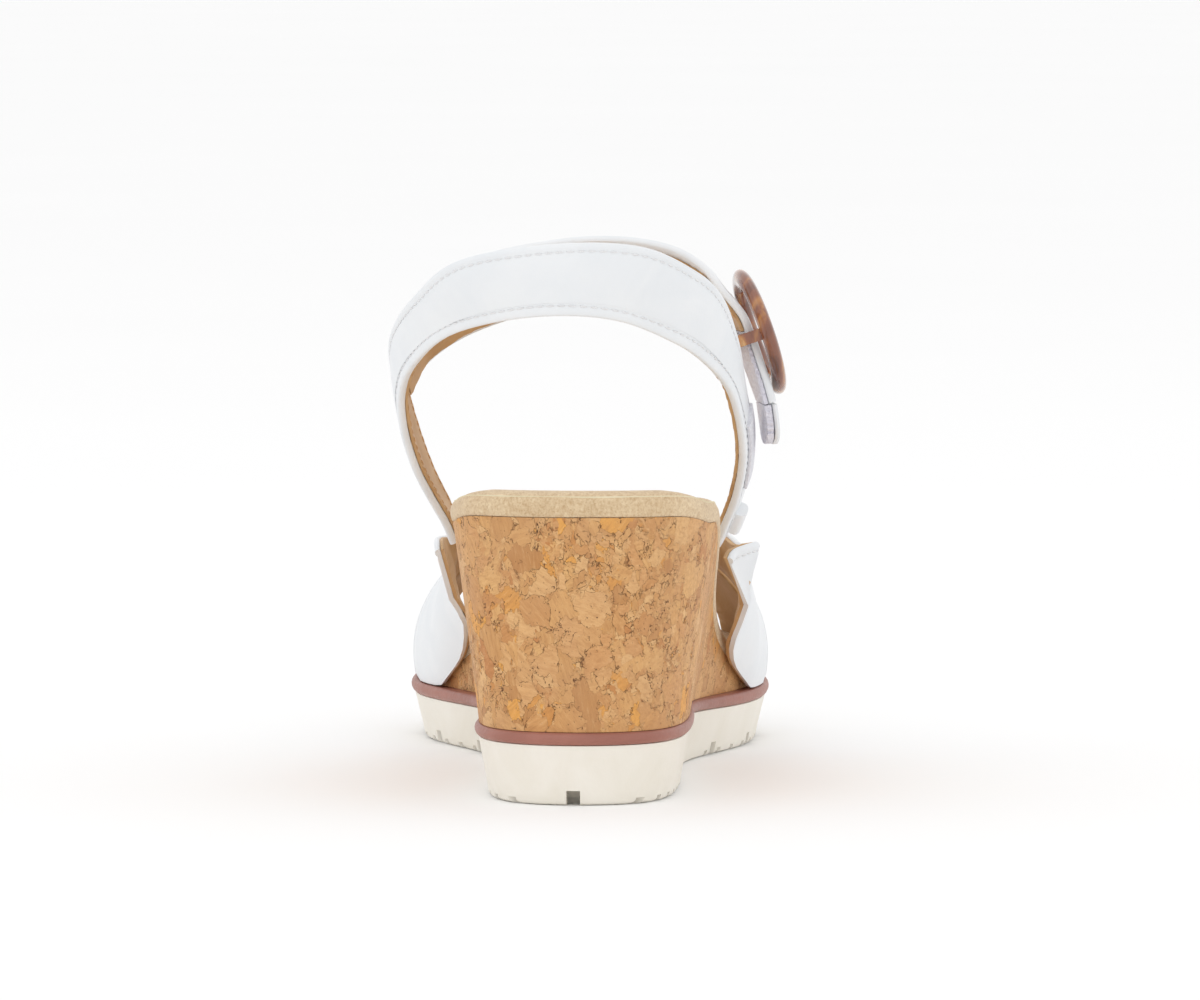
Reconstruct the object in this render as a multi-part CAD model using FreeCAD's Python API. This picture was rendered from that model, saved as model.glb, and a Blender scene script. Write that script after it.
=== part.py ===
import FreeCAD, Part
import math
import os

# Right-foot wedge sandal.  +Y points to the toe, +X to the outer side of the foot, +Z up.
# The origin lies on the ground, half-way along the sole.  Plan shapes are drawn on a last
# of 250 stations, from 0 at the back of the heel to 250 at the toe, which is then sized.

# ---- sole -------------------------------------------------------------------------------
SOLE_LENGTH = 250.0
BALL_WIDTH = 93.5
HEEL_SEAT = 75.5            # height of the seat under the heel's middle
BALL_SEAT = 24.0            # height of the footbed's top under the ball
TOE_SPRING = 8.5            # rise of the sole's underside at the toe
TOE_SPRING_START = 170.0    # station where it begins
SLOPE_START, SLOPE_END = 38.0, 182.0        # stations between which the footbed comes down
HEEL_TILT = [(0, 1.9), (10, 1.6), (40, -1.9), (60, -1.6), (100, 0)]   # footbed over the seat's level
OUTSOLE_HEEL = 15.0
OUTSOLE_BALL = 12.0
OUTSOLE_THINNING = 2.0      # thinner again at the toe
OUTSOLE_FLARE = 2.8         # how far the outsole's wall leans out from the ground up
WELT_THICK = 3.2
WELT_PROUD = 0.5
CORK_WRAP_THICK = 1.5
HEEL_REVEAL = 1.0           # ledge of the sole left free round the cork at the heel
BALL_REVEAL = 3.2           # the same at the ball, where the upper stands on it
BOARD_THICK = 1.8
FOAM_THICK = 3.4
SUEDE_THICK = 1.0
SHANK_WIDTH = 12.0
SHANK_THICK = 1.2
SHANK_START, SHANK_END = 42.0, 148.0
RIVET_RADIUS = 1.8
CUSHION_RADIUS = 14.0
CUSHION_THICK = 1.1
CUSHION_STATION = 23.0

# ---- tread ------------------------------------------------------------------------------
TREAD_DEPTH = 1.6
TREAD_WIDTH = 2.2
SIDE_NOTCH_DEPTH = 3.4
SIDE_NOTCH_WIDTH = 3.2
HEEL_NOTCH_WIDTH = 3.4
HEEL_NOTCH_DEPTH = 3.7

# ---- upper ------------------------------------------------------------------------------
LEATHER = 1.2
LINING = 0.9
PADDING = 0.6
LOOP_TAPE = 1.3
HOOK_TAPE = 0.9
KEEPER_THICK = 2.8          # small folded leather tab sewn on the outer leg
PADDED_WIDTH = (0.15, 0.85)                 # share of a strap's width that is padded
HOOK_PATCH_RUN, HOOK_PATCH_WIDTH = (0.8, 0.885), (0.2, 0.85)
KEEPER_RUN, KEEPER_WIDTH = (0.93, 0.965), (0.3, 0.7)
TAPE_START = 0.72           # share of the closing strap's run where lining gives way to loop tape
TAPE_JOINT = 0.004
TAB_TAPE_RUN, TAB_TAPE_WIDTH = (0, 0.94), (0.08, 0.92)
GLUE = 0.05                 # glue line between two layers
THROAT_BACK, THROAT_FRONT = 108.0, 168.0
THROAT_POWER = 2.2          # 2 is a parabola, more is squarer
VAMP_FRONT, VAMP_BOW = 193.0, 5.0
TOE_BAND_BACK, TOE_BAND_FRONT = 199.0, 222.0
TOE_BAND_BACK_BOW, TOE_BAND_FRONT_BOW = 4.0, 2.0
ANKLE_CROWN = 0.6           # how far the ankle strap bows outwards across its width
STRAP_WIDTH = 19.0          # closing strap, where it runs through the ring

# ---- ring buckle ------------------------------------------------------------------------
RING_OUTER = 16.6
RING_INNER = 11.6
RING_THICK = 3.6
BAR_THICK = 1.5
BAR_WIDTH = 3.0
RING_PLAY = 0.8             # air between the ring and the strap inside it
RING_PLACE = 9.0            # which of the closing strap's rail points the ring sits at

STATIONS = 250.0
NOMINAL_BREADTH = 93.5
LENGTHWISE = SOLE_LENGTH / STATIONS
SIDEWAYS = BALL_WIDTH / NOMINAL_BREADTH
LATERAL, MEDIAL = 1, -1


# ---- curves of the last -------------------------------------------------------------------
def ramp(start, end, s):
    """Cosine ease from 0 at start to 1 at end."""
    t = min(max((s - start) / (end - start), 0.0), 1.0)
    return 0.5 * (1.0 - math.cos(math.pi * t))


def through(knots, s):
    """Smooth value through (station, value) knots, without overshoot."""
    if s <= knots[0][0]:
        return knots[0][1]
    if s >= knots[-1][0]:
        return knots[-1][1]
    slopes = [(b[1] - a[1]) / (b[0] - a[0]) for a, b in zip(knots, knots[1:])]
    i = max(j for j in range(len(slopes)) if knots[j][0] <= s)

    def tangent(j):
        if j == 0 or j == len(slopes):
            return slopes[min(j, len(slopes) - 1)]
        before, after = slopes[j - 1], slopes[j]
        return 0.0 if before * after <= 0 else 2 * before * after / (before + after)

    width = knots[i + 1][0] - knots[i][0]
    t = (s - knots[i][0]) / width
    rise = knots[i + 1][1] - knots[i][1]
    start = tangent(i) * width
    end = tangent(i + 1) * width
    return knots[i][1] + start * t + (3 * rise - 2 * start - end) * t**2 + (start + end - 2 * rise) * t**3


def catmull(points, u):
    """Point of a smooth curve through evenly spaced points, u from 0 to 1."""
    place = u * (len(points) - 1)
    i = min(int(place), len(points) - 2)
    t = place - i
    p0, p1 = points[max(i - 1, 0)], points[i]
    p2, p3 = points[i + 1], points[min(i + 2, len(points) - 1)]
    return (p1 * 2 + (p2 - p0) * t + (p0 * 2 - p1 * 5 + p2 * 4 - p3) * t**2
            + (p1 * 3 - p0 - p2 * 3 + p3) * t**3) * 0.5


def toe_rise(s):
    """Height of the sole's underside, which lifts off the ground at the toe."""
    return TOE_SPRING * max((s - TOE_SPRING_START) / (STATIONS - TOE_SPRING_START), 0.0) ** 2


def underside(s):
    """The same before the sole is cut flat at the ground, which it runs down through."""
    share = (s - TOE_SPRING_START) / (STATIONS - TOE_SPRING_START)
    return TOE_SPRING * share * abs(share)


def outsole_top(s):
    thickness = OUTSOLE_HEEL + (OUTSOLE_BALL - OUTSOLE_HEEL) * ramp(60, 160, s)
    return toe_rise(s) + thickness - OUTSOLE_THINNING * ramp(180, STATIONS, s)


def welt_top(s):
    return outsole_top(s) + WELT_THICK


def seat_level(s):
    """Height of the foot's underside, from which the upper is measured."""
    return BALL_SEAT + (HEEL_SEAT - BALL_SEAT) * (1.0 - ramp(SLOPE_START, SLOPE_END, s)) + toe_rise(s)


def footbed_top(s):
    return seat_level(s) + through(HEEL_TILT, s)


def footbed_under(s):
    return footbed_top(s) - SUEDE_THICK - FOAM_THICK - BOARD_THICK


def at(s, x, z):
    """Place in space of a point given by station, offset from the heel's centre line and height."""
    return FreeCAD.Vector(x * SIDEWAYS, (s - STATIONS / 2) * LENGTHWISE, z)


def foot(s, x, h):
    """Place in space of a point h above the seat."""
    return at(s, x, seat_level(s) + h)


# ---- plan of the sole: station and offset low down, then the same at footbed height ----------
PLAN = [
    (5, 0, 0, 0), (7, 10.5, 2, 13.5), (13, 18.8, 9, 24.5), (24, 24, 22, 31.2), (40, 26, 40, 33.9),
    (62, 25.8, 62, 34.5), (86, 24.4, 86, 35), (110, 23.8, 110, 35), (128, 26.6, 128, 35),
    (146, 32.2, 146, 35.5), (162, 36.6, 162, 37), (180, 38.6, 180, 38.2), (200, 36.8, 200, 36),
    (219, 29, 219, 28), (235, 15.5, 234, 14.5), (246, -1, 244.5, -1.5), (250, -18, 248, -18),
    (245.5, -34, 243.5, -33.5), (233, -45.8, 231.5, -45), (216, -52.7, 215, -52),
    (198, -54.9, 198, -54.2), (180, -53.6, 180, -52.6), (163, -47.8, 163, -46.8),
    (146, -39.4, 146, -40), (126, -31.8, 126, -37), (100, -26.6, 100, -36.3), (72, -25.4, 72, -35.2),
    (46, -26, 46, -34.2), (26, -24.2, 24, -31), (13.5, -18.6, 9.5, -24.5), (7.2, -10.5, 2.2, -13.5),
]
LOW_PLAN = [(row[0], row[1]) for row in PLAN]
HIGH_PLAN = [(row[2], row[3]) for row in PLAN]
HIGH_LEVEL = HEEL_SEAT + 2.5


def inset(plan, distance):
    """The plan moved inwards by distance(station) millimetres."""
    moved = []
    for i, (s, x) in enumerate(plan):
        before, after = plan[i - 1], plan[(i + 1) % len(plan)]
        along = FreeCAD.Vector((after[1] - before[1]) * SIDEWAYS, (after[0] - before[0]) * LENGTHWISE, 0)
        along.normalize()
        moved.append((s + along.x * distance(s) / LENGTHWISE, x - along.y * distance(s) / SIDEWAYS))
    return moved


def plan_curve(plan, z):
    curve = Part.BSplineCurve()
    curve.interpolate([at(s, x, z) for s, x in plan], PeriodicFlag=True)
    return curve


def walls(low, high, z_low, z_high):
    """Solid with ruled walls between two plans."""
    wires = [Part.Wire([plan_curve(low, z_low).toShape()]), Part.Wire([plan_curve(high, z_high).toShape()])]
    return Part.makeLoft(wires, True, True)


def reveal(s):
    """Ledge of the sole left free round the wedge, low down."""
    return HEEL_REVEAL + (BALL_REVEAL - HEEL_REVEAL) * ramp(112, 150, s)


def high_reveal(s):
    """The same at footbed height, where the wedge's wall is flush at the heel."""
    return reveal(s) - HEEL_REVEAL


def wedge_walls(depth):
    """Walls of everything that stands on the welt, moved in by depth."""
    low = inset(LOW_PLAN, lambda s: reveal(s) + depth)
    high = inset(HIGH_PLAN, lambda s: high_reveal(s) + depth)
    return walls(low, high, OUTSOLE_BALL, HIGH_LEVEL)


def level(low, high, start=-15.0, end=265.0, half_width=90.0):
    """Slab between two heights that vary along the sole."""
    steps = [start + (end - start) * i / 28 for i in range(29)]
    under, over = Part.BSplineCurve(), Part.BSplineCurve()
    under.interpolate([at(s, -half_width, low(s)) for s in steps])
    over.interpolate([at(s, -half_width, high(s)) for s in steps])
    ends = [Part.makeLine(under.value(under.LastParameter), over.value(over.LastParameter)),
            Part.makeLine(over.value(over.FirstParameter), under.value(under.FirstParameter))]
    face = Part.Face(Part.Wire([under.toShape(), ends[0], over.toShape(), ends[1]]))
    return face.extrude(FreeCAD.Vector(2 * half_width * SIDEWAYS, 0, 0))


def edge_points(plan):
    curve = plan_curve(plan, 0.0)
    first, last = curve.FirstParameter, curve.LastParameter
    return [curve.value(first + (last - first) * i / 240) for i in range(241)]


LOW_EDGE = edge_points(inset(LOW_PLAN, reveal))
HIGH_EDGE = edge_points(inset(HIGH_PLAN, high_reveal))


def edge_x(edge, s, side):
    """Offset of a plan's edge at a station, on one side."""
    y = at(s, 0, 0).y
    crossings = []
    for a, b in zip(edge, edge[1:]):
        if (a.y - y) * (b.y - y) <= 0 and a.y != b.y:
            crossings.append(a.x + (b.x - a.x) * (y - a.y) / (b.y - a.y))
    return side * max(side * x for x in crossings)


def wedge_x(s, z, side):
    """Offset in space of the wedge's wall at a station and height."""
    share = (z - OUTSOLE_BALL) / (HIGH_LEVEL - OUTSOLE_BALL)
    low = edge_x(LOW_EDGE, s, side)
    return low + (edge_x(HIGH_EDGE, s, side) - low) * share


# ---- surface of the upper over the forefoot -------------------------------------------------
REAR_EDGE = {MEDIAL: [(105, 5), (112, 3.2), (125, -0.4), (133, -3.1), (146, -7.5), (155, -9.8), (163, -14)],
             LATERAL: [(105, 3), (110, 2.2), (118, 0.5), (125, -1.7), (135, -7.2), (146, -9.5), (155, -10.8),
                       (163, -14)]}
FOOT_HEIGHT = [(105, 66), (140, 52), (163, 39.5), (170, 36.8), (185, 33.5), (212, 26), (235, 16)]
STAND_OFF = {MEDIAL: [(105, 9.4), (112, 9), (125, 7.4), (133, 3.8), (146, 2.8), (250, 2.6)],
             LATERAL: [(105, 2.8), (112, 3.6), (118, 6.2), (125, 8.4), (130, 6.8), (136, 4.4), (146, 3.2),
                       (250, 2.8)]}
BULGE = {MEDIAL: [(105, 1), (125, 4), (146, 6), (163, 3), (180, 1.2), (250, 0.6)],
         LATERAL: [(105, 1), (118, 3), (135, 4), (150, 5), (163, 2.4), (180, 1.2), (250, 0.6)]}
SQUARENESS = 0.84           # exponent of the arch: 1 is an ellipse, less is squarer
BULGE_PEAK = 6.75           # brings the peak of rise * (1 - rise)^2 to 1
WELT_CLEARANCE = 0.6        # air between the upper's lower edge and the welt


def upper_base(s, side):
    """Height of the upper's lower edge: the welt, then rising clear of it towards the ankle."""
    floor = welt_top(s) + WELT_CLEARANCE
    free = seat_level(s) + through(REAR_EDGE[side], s)
    return 0.5 * (floor + free + math.sqrt((floor - free) ** 2 + 1.0))


def arch(s, t):
    """Outer face of the upper: t runs from 0 at the inner side of the foot over it to 1."""
    side = MEDIAL if t < 0.5 else LATERAL
    base = upper_base(s, side)
    top = seat_level(s) + through(FOOT_HEIGHT, s)
    feet = [wedge_x(s, upper_base(s, end), end) + end * through(STAND_OFF[end], s)
            for end in (MEDIAL, LATERAL)]
    middle = 0.5 * sum(feet)
    half = 0.5 * (feet[1] - feet[0])
    up = math.sin(math.pi * t) ** SQUARENESS if 0 < t < 1 else 0.0
    out = abs(math.cos(math.pi * t)) ** SQUARENESS
    bulge = through(BULGE[side], s) * BULGE_PEAK * up * (1.0 - up) ** 2
    return FreeCAD.Vector(middle + side * (half * out + bulge), at(s, 0, 0).y, base + (top - base) * up)


def arch_patch(rear, front):
    """Surface function over the arch between two girth lines."""
    def point(u, v):
        return arch(rear(u) + (front(u) - rear(u)) * v, u)
    return point


def ribbon(rear_rail, front_rail, crown=0.0):
    """Surface function between two rails, bowed outwards by crown across its width."""
    def flat(u, v):
        rear, front = catmull(rear_rail, u), catmull(front_rail, u)
        return rear + (front - rear) * v

    def point(u, v):
        return flat(u, v) + normal_of(flat, u, v) * (crown * 4 * v * (1 - v))
    return point


def normal_of(point, u, v):
    step = 0.004
    along = point(min(u + step, 1), v) - point(max(u - step, 0), v)
    across = point(u, min(v + step, 1)) - point(u, max(v - step, 0))
    normal = along.cross(across)
    normal.normalize()
    return normal


def skin(point, near, far, u_range=(0, 1), v_range=(0, 1), columns=30, rows=5):
    """Solid between two offsets of a surface from its outer face, inwards negative."""
    def sheet(offset):
        grid = []
        for i in range(columns + 1):
            u = u_range[0] + (u_range[1] - u_range[0]) * i / columns
            line = []
            for j in range(rows + 1):
                v = v_range[0] + (v_range[1] - v_range[0]) * j / rows
                line.append(point(u, v) + normal_of(point, u, v) * offset)
            grid.append(line)
        surface = Part.BSplineSurface()
        surface.interpolate(grid)
        return surface

    sheets = [sheet(near), sheet(far)]
    faces = [surface.toShape() for surface in sheets]
    first, last, start, end = sheets[0].bounds()
    for side in (first, last):
        faces.append(ruled(sheets, lambda surface: surface.uIso(edge_of(surface, 0, side == last))))
    for side in (start, end):
        faces.append(ruled(sheets, lambda surface: surface.vIso(edge_of(surface, 2, side == end))))
    shell = Part.Shell(faces)
    shell.sewShape()
    solid = Part.Solid(shell)
    if solid.Volume < 0:
        solid.reverse()
    return solid


def edge_of(surface, index, at_end):
    return surface.bounds()[index + (1 if at_end else 0)]


def ruled(sheets, border):
    edges = [border(surface).toShape() for surface in sheets]
    return Part.makeRuledSurface(edges[0], edges[1], 1)


def write(name, shape):
    if not shape.isValid() or shape.Volume <= 0:
        print("check", name, shape.isValid(), shape.Volume)
    shape.exportStep("parts/" + name + ".step")
    print(name, round(shape.Volume), len(shape.Solids))


# ---- sole pieces ------------------------------------------------------------------------------
def outsole():
    wall_low = inset(LOW_PLAN, lambda s: 1.5 * OUTSOLE_FLARE)
    wall_high = inset(LOW_PLAN, lambda s: -OUTSOLE_FLARE)
    body = walls(wall_low, wall_high, -0.5 * OUTSOLE_HEEL, 2 * OUTSOLE_HEEL)
    body = body.common(level(underside, outsole_top))
    below = Part.makeBox(2 * SOLE_LENGTH, 2 * SOLE_LENGTH, SOLE_LENGTH)
    below.translate(FreeCAD.Vector(-SOLE_LENGTH, -SOLE_LENGTH, -SOLE_LENGTH))
    body = body.cut(below)
    heel_stations = [14 + 7 * i for i in range(8)]
    ball_stations = [134 + 9 * i for i in range(11)]
    for s in heel_stations + ball_stations:
        body = body.cut(tread_groove(s, TREAD_WIDTH, TREAD_DEPTH))
    for s in (138.5, 165.5, 192.5):
        body = body.cut(tread_groove(s, SIDE_NOTCH_WIDTH, SIDE_NOTCH_DEPTH))
    notch_length = 14.0
    notch = Part.makeBox(HEEL_NOTCH_WIDTH, notch_length, 2 * HEEL_NOTCH_DEPTH)
    notch.translate(at(0, 0, 0) + FreeCAD.Vector(-HEEL_NOTCH_WIDTH / 2, 0, -HEEL_NOTCH_DEPTH))
    return body.cut(notch)


def tread_groove(s, width, depth):
    """Bar across the sole, straddling its underside."""
    groove = Part.makeBox(200 * SIDEWAYS, width, 2 * depth)
    groove.translate(at(s, -100, toe_rise(s)) - FreeCAD.Vector(0, width / 2, depth))
    return groove


def welt():
    plan = inset(LOW_PLAN, lambda s: -WELT_PROUD)
    body = walls(plan, plan, 0, 3 * OUTSOLE_HEEL)
    return body.common(level(lambda s: outsole_top(s) + GLUE, welt_top))


def wedge_level(depth, low, high):
    return wedge_walls(depth).common(level(low, high))


def shank_bar(play):
    """The shank, or with play the slot for it, which is open to the board above."""
    def under(s):
        return footbed_under(s) - SHANK_THICK - play

    def over(s):
        return footbed_under(s) - GLUE + 4 * play
    return level(under, over, SHANK_START - play, SHANK_END + play, SHANK_WIDTH / 2 + play)


def rivets(play):
    """Two rivets through the board and the shank."""
    group = []
    for s in (SHANK_START + 7, SHANK_END - 9):
        low = footbed_under(s) - SHANK_THICK - 1.5
        high = footbed_under(s) + BOARD_THICK * 0.6
        group.append(Part.makeCylinder(RIVET_RADIUS + play, high - low, at(s, 0, low)))
    return Part.Compound(group)


def cushion(play):
    """Round pad let into the foam's top, which it follows, or with play the recess for it."""
    def under(s):
        return foam_top(s) - GLUE - CUSHION_THICK

    def over(s):
        return foam_top(s) - GLUE + 10 * play
    foot_of_bar = at(CUSHION_STATION, 0, footbed_under(CUSHION_STATION))
    return Part.makeCylinder(CUSHION_RADIUS + play, 30.0, foot_of_bar).common(level(under, over))


def board_top(s):
    return footbed_under(s) + BOARD_THICK


def foam_top(s):
    return footbed_top(s) - SUEDE_THICK


def cork_floor(s):
    return welt_top(s) + GLUE


def cork_roof(s):
    return footbed_under(s) - GLUE


def sole_pieces():
    block = wedge_level(0.0, cork_floor, cork_roof)
    core = wedge_level(CORK_WRAP_THICK + GLUE, cork_floor, cork_roof)
    write("outsole", outsole())
    write("welt_band", welt())
    write("cork_wrap", block.cut(wedge_walls(CORK_WRAP_THICK)))
    write("wedge_core", core.cut(shank_bar(0.1)).cut(rivets(0.1)))
    write("steel_shank", shank_bar(0.0).cut(rivets(0.05)))
    write("shank_rivets", rivets(0.0))
    write("insole_board", wedge_level(SUEDE_THICK + GLUE, footbed_under, board_top).cut(rivets(0.05)))
    foam = wedge_level(SUEDE_THICK + GLUE, lambda s: board_top(s) + GLUE, foam_top)
    write("footbed_foam", foam.cut(cushion(0.1)))
    write("heel_cushion", cushion(0.0))
    cover = wedge_level(0.0, footbed_under, footbed_top)
    hollow = wedge_level(SUEDE_THICK, lambda s: footbed_under(s) - 1.0, lambda s: foam_top(s) + GLUE)
    write("suede_footbed_cover", cover.cut(hollow))


# ---- vamp and toe band --------------------------------------------------------------------------
def throat(t):
    """Station of the vamp's rear edge: far forward over the foot, back at both wings."""
    return THROAT_BACK + (THROAT_FRONT - THROAT_BACK) * (1 - abs(1 - 2 * t) ** THROAT_POWER)


def bowed(station, bow):
    return lambda t: station - bow * math.sin(math.pi * t)


def vamp_pieces():
    vamp = arch_patch(throat, bowed(VAMP_FRONT, VAMP_BOW))
    toe_band = arch_patch(bowed(TOE_BAND_BACK, TOE_BAND_BACK_BOW), bowed(TOE_BAND_FRONT, TOE_BAND_FRONT_BOW))
    for name, surface, rows in (("vamp", vamp, 12), ("toe_band", toe_band, 4)):
        write(name + "_outer", skin(surface, 0, -LEATHER, columns=40, rows=rows))
        write(name + "_lining", skin(surface, -LEATHER - GLUE, -LEATHER - GLUE - LINING,
                                     columns=40, rows=rows))


# ---- ankle strap: two legs and the band behind the heel, in one piece ------------------------------
REAR_RAIL = [
    (108, -38.2, 5.5), (100, -39.5, 6.5), (91, -42.7, 9), (83, -45.8, 13), (75, -48, 19.5), (66, -47.8, 26),
    (50, -43.2, 30.5), (33, -33.5, 37.5), (20, -20, 42), (13, -3.6, 44), (16, 11, 42.5), (26, 23.4, 37),
    (38, 29.8, 32), (54, 35.4, 26), (66, 38, 20.5), (77, 38.6, 14.5), (90, 36.2, 9.5), (100, 32.5, 6),
    (107, 30, 4.5),
]
FRONT_RAIL = [
    (118, -39, 15.5), (114, -41.8, 20.5), (109, -45.5, 26.5), (103, -48.2, 32.5), (95, -50, 37),
    (80, -51.2, 39), (62, -49.6, 41), (38, -42.2, 47.5), (20, -29, 57.5), (10, -3.6, 62), (13.5, 17, 61),
    (27, 29.6, 54.5), (40, 35, 48), (56, 37.7, 39.5), (74, 38.7, 32.5), (90, 39.4, 29), (102, 38.6, 24.5),
    (110, 35.6, 18), (115, 31.5, 13),
]


def ankle_surface():
    return ribbon([foot(*p) for p in REAR_RAIL], [foot(*p) for p in FRONT_RAIL], ANKLE_CROWN)


def ankle_pieces():
    surface = ankle_surface()
    lining_from = -LEATHER - PADDING - 2 * GLUE
    write("ankle_strap_outer", skin(surface, 0, -LEATHER, columns=54))
    write("ankle_strap_padding", skin(surface, -LEATHER - GLUE, -LEATHER - GLUE - PADDING,
                                      v_range=PADDED_WIDTH, columns=54))
    write("ankle_strap_lining", skin(surface, lining_from, lining_from - LINING, columns=54))
    write("quarter_hook_patch", skin(surface, GLUE + HOOK_TAPE, GLUE,
                                     HOOK_PATCH_RUN, HOOK_PATCH_WIDTH, 8, 4))
    write("side_keeper", skin(surface, GLUE + KEEPER_THICK, GLUE, KEEPER_RUN, KEEPER_WIDTH, 4, 4))


# ---- closing strap over the instep ------------------------------------------------------------------
STRAP_REAR = [(79, -50.6, 42.5), (84, -44.5, 57.5), (89, -30, 70), (92, -10, 76), (91.5, 6, 76.5),
              (89, 19.6, 73), (85.5, 28.2, 66.5), (81, 33.3, 58.5)]
STRAP_FRONT = [(97, -49.6, 38), (102, -45, 49.5), (106, -34.5, 59), (108, -18, 66), (107, 0, 69.5),
               (105, 14, 70.5), (101.5, 26, 69.5), (98.7, 33.3, 65.5)]
BUCKLE_STATION = 88.0
# down the outer side: offset, height, share of the full width, and how far the rear edge stands out
BUCKLE_RUN = [(37.1, 55.6, 1.0, 1.6), (39.1, 49.8, 1.0, 2.0), (41.1, 44.0, 1.0, 2.0),
              (42.9, 38.6, 1.0, 2.0), (44.5, 33.6, 1.0, 1.8)]
TAB_RUN = [(44.7, 32.9, 1.0, 1.8), (45.2, 29.6, 1.0, 1.8), (45.6, 26.6, 0.92, 1.8),
           (45.8, 24.1, 0.7, 1.8), (45.9, 22.4, 0.2, 1.8)]


def strap_edge(run, side):
    """Edge points of the strap where it hangs straight down the outer side."""
    middle = foot(BUCKLE_STATION, 0, 0)
    points = []
    for offset, height, share, lean in run:
        half = FreeCAD.Vector(-lean, STRAP_WIDTH / 2, 0) * (side * share)
        points.append(FreeCAD.Vector(offset * SIDEWAYS, middle.y, middle.z + height) + half)
    return points


def closing_surface():
    """Strap from the inner leg over the instep and down through the ring."""
    rear = [foot(*p) for p in STRAP_REAR] + strap_edge(BUCKLE_RUN, -1)
    front = [foot(*p) for p in STRAP_FRONT] + strap_edge(BUCKLE_RUN, 1)
    return ribbon(rear, front)


def tab_surface():
    return ribbon(strap_edge(TAB_RUN, -1), strap_edge(TAB_RUN, 1))


def closing_pieces():
    surface = closing_surface()
    lining_from = -LEATHER - PADDING - 2 * GLUE
    write("instep_strap_outer", skin(surface, 0, -LEATHER, columns=44))
    write("instep_strap_padding", skin(surface, -LEATHER - GLUE, -LEATHER - GLUE - PADDING,
                                       v_range=PADDED_WIDTH, columns=44))
    write("instep_strap_lining", skin(surface, lining_from, lining_from - LINING,
                                      (0, TAPE_START), columns=34))
    write("instep_loop_tape", skin(surface, lining_from, lining_from - LINING, (TAPE_START + TAPE_JOINT, 1),
                                   columns=16))
    tab = tab_surface()
    write("closing_tab_outer", skin(tab, 0, -LEATHER, columns=16))
    write("closing_tab_loop", skin(tab, -LEATHER - GLUE, -LEATHER - GLUE - LOOP_TAPE,
                                   TAB_TAPE_RUN, TAB_TAPE_WIDTH, 14))


def ring_seat():
    """Middle of the ring's place on the strap, with the directions across, down it and outwards."""
    surface = closing_surface()
    u = RING_PLACE / (len(STRAP_REAR) + len(BUCKLE_RUN) - 1)
    outward = normal_of(surface, u, 0.5)
    across = (surface(u + 0.02, 0.5) - surface(u - 0.02, 0.5)).cross(outward)
    across.normalize()
    return surface(u, 0.5), across, outward.cross(across), outward


def ring_buckle():
    """Round moulded ring with a bar behind it, which the closing strap passes through."""
    rise = RING_PLAY + RING_THICK / 2
    mid_radius = (RING_OUTER + RING_INNER) / 2
    section = Part.Ellipse(FreeCAD.Vector(mid_radius, 0, 0), (RING_OUTER - RING_INNER) / 2, RING_THICK / 2)
    section = Part.Face(Part.Wire([section.toShape()]))
    section.rotate(FreeCAD.Vector(0, 0, 0), FreeCAD.Vector(1, 0, 0), 90)
    ring = section.revolve(FreeCAD.Vector(0, 0, 0), FreeCAD.Vector(0, 0, 1), 360)
    strap_stack = LEATHER + PADDING + 2 * GLUE + LINING
    bar_top = rise + strap_stack + RING_PLAY
    opening = Part.makeBox(STRAP_WIDTH + 2 * RING_PLAY, BAR_WIDTH, bar_top)
    opening.translate(FreeCAD.Vector(-STRAP_WIDTH / 2 - RING_PLAY, -BAR_WIDTH / 2, -bar_top))
    bar = Part.makeBox(2 * mid_radius, BAR_WIDTH, bar_top + BAR_THICK)
    bar.translate(FreeCAD.Vector(-mid_radius, -BAR_WIDTH / 2, -bar_top - BAR_THICK))
    frame = ring.fuse(bar.cut(opening))
    seat, across, down, outward = ring_seat()
    centre = seat + outward * rise
    frame.Placement = FreeCAD.Placement(FreeCAD.Matrix(
        across.x, down.x, outward.x, centre.x, across.y, down.y, outward.y, centre.y,
        across.z, down.z, outward.z, centre.z, 0, 0, 0, 1))
    print("ring centre", centre, "slides along", down)
    return frame


os.makedirs("parts", exist_ok=True)
sole_pieces()
vamp_pieces()
ankle_pieces()
closing_pieces()
write("ring_buckle", ring_buckle())
hinge = closing_surface()
print("strap hinge", hinge(0, 0), hinge(0, 1))
tab_hinge = tab_surface()
print("tab hinge", tab_hinge(0, 0), tab_hinge(0, 1))
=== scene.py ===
"""Women's right-foot wedge sandal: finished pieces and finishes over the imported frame."""
import logging
import math
from dataclasses import dataclass, field
from enum import Enum
from typing import Callable, Optional, Sequence

import bpy
import numpy as np
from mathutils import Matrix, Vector, noise


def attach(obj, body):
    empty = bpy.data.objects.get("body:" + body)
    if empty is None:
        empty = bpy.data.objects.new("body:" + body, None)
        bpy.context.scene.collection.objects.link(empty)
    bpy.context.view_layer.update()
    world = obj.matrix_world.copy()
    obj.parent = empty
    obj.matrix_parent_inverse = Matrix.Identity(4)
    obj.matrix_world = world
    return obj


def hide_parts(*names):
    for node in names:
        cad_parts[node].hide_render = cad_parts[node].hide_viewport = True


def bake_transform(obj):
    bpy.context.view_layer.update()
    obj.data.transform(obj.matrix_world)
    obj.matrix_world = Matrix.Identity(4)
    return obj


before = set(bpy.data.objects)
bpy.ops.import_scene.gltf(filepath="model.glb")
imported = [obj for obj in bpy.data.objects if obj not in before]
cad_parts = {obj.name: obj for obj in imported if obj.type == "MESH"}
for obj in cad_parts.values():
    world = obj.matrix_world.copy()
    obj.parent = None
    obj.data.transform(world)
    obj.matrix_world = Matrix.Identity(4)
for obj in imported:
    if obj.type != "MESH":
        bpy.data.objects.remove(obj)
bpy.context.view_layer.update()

LOG = logging.getLogger("sandal")
MM = 0.001
Surface = Callable[[float, float], np.ndarray]
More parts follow.
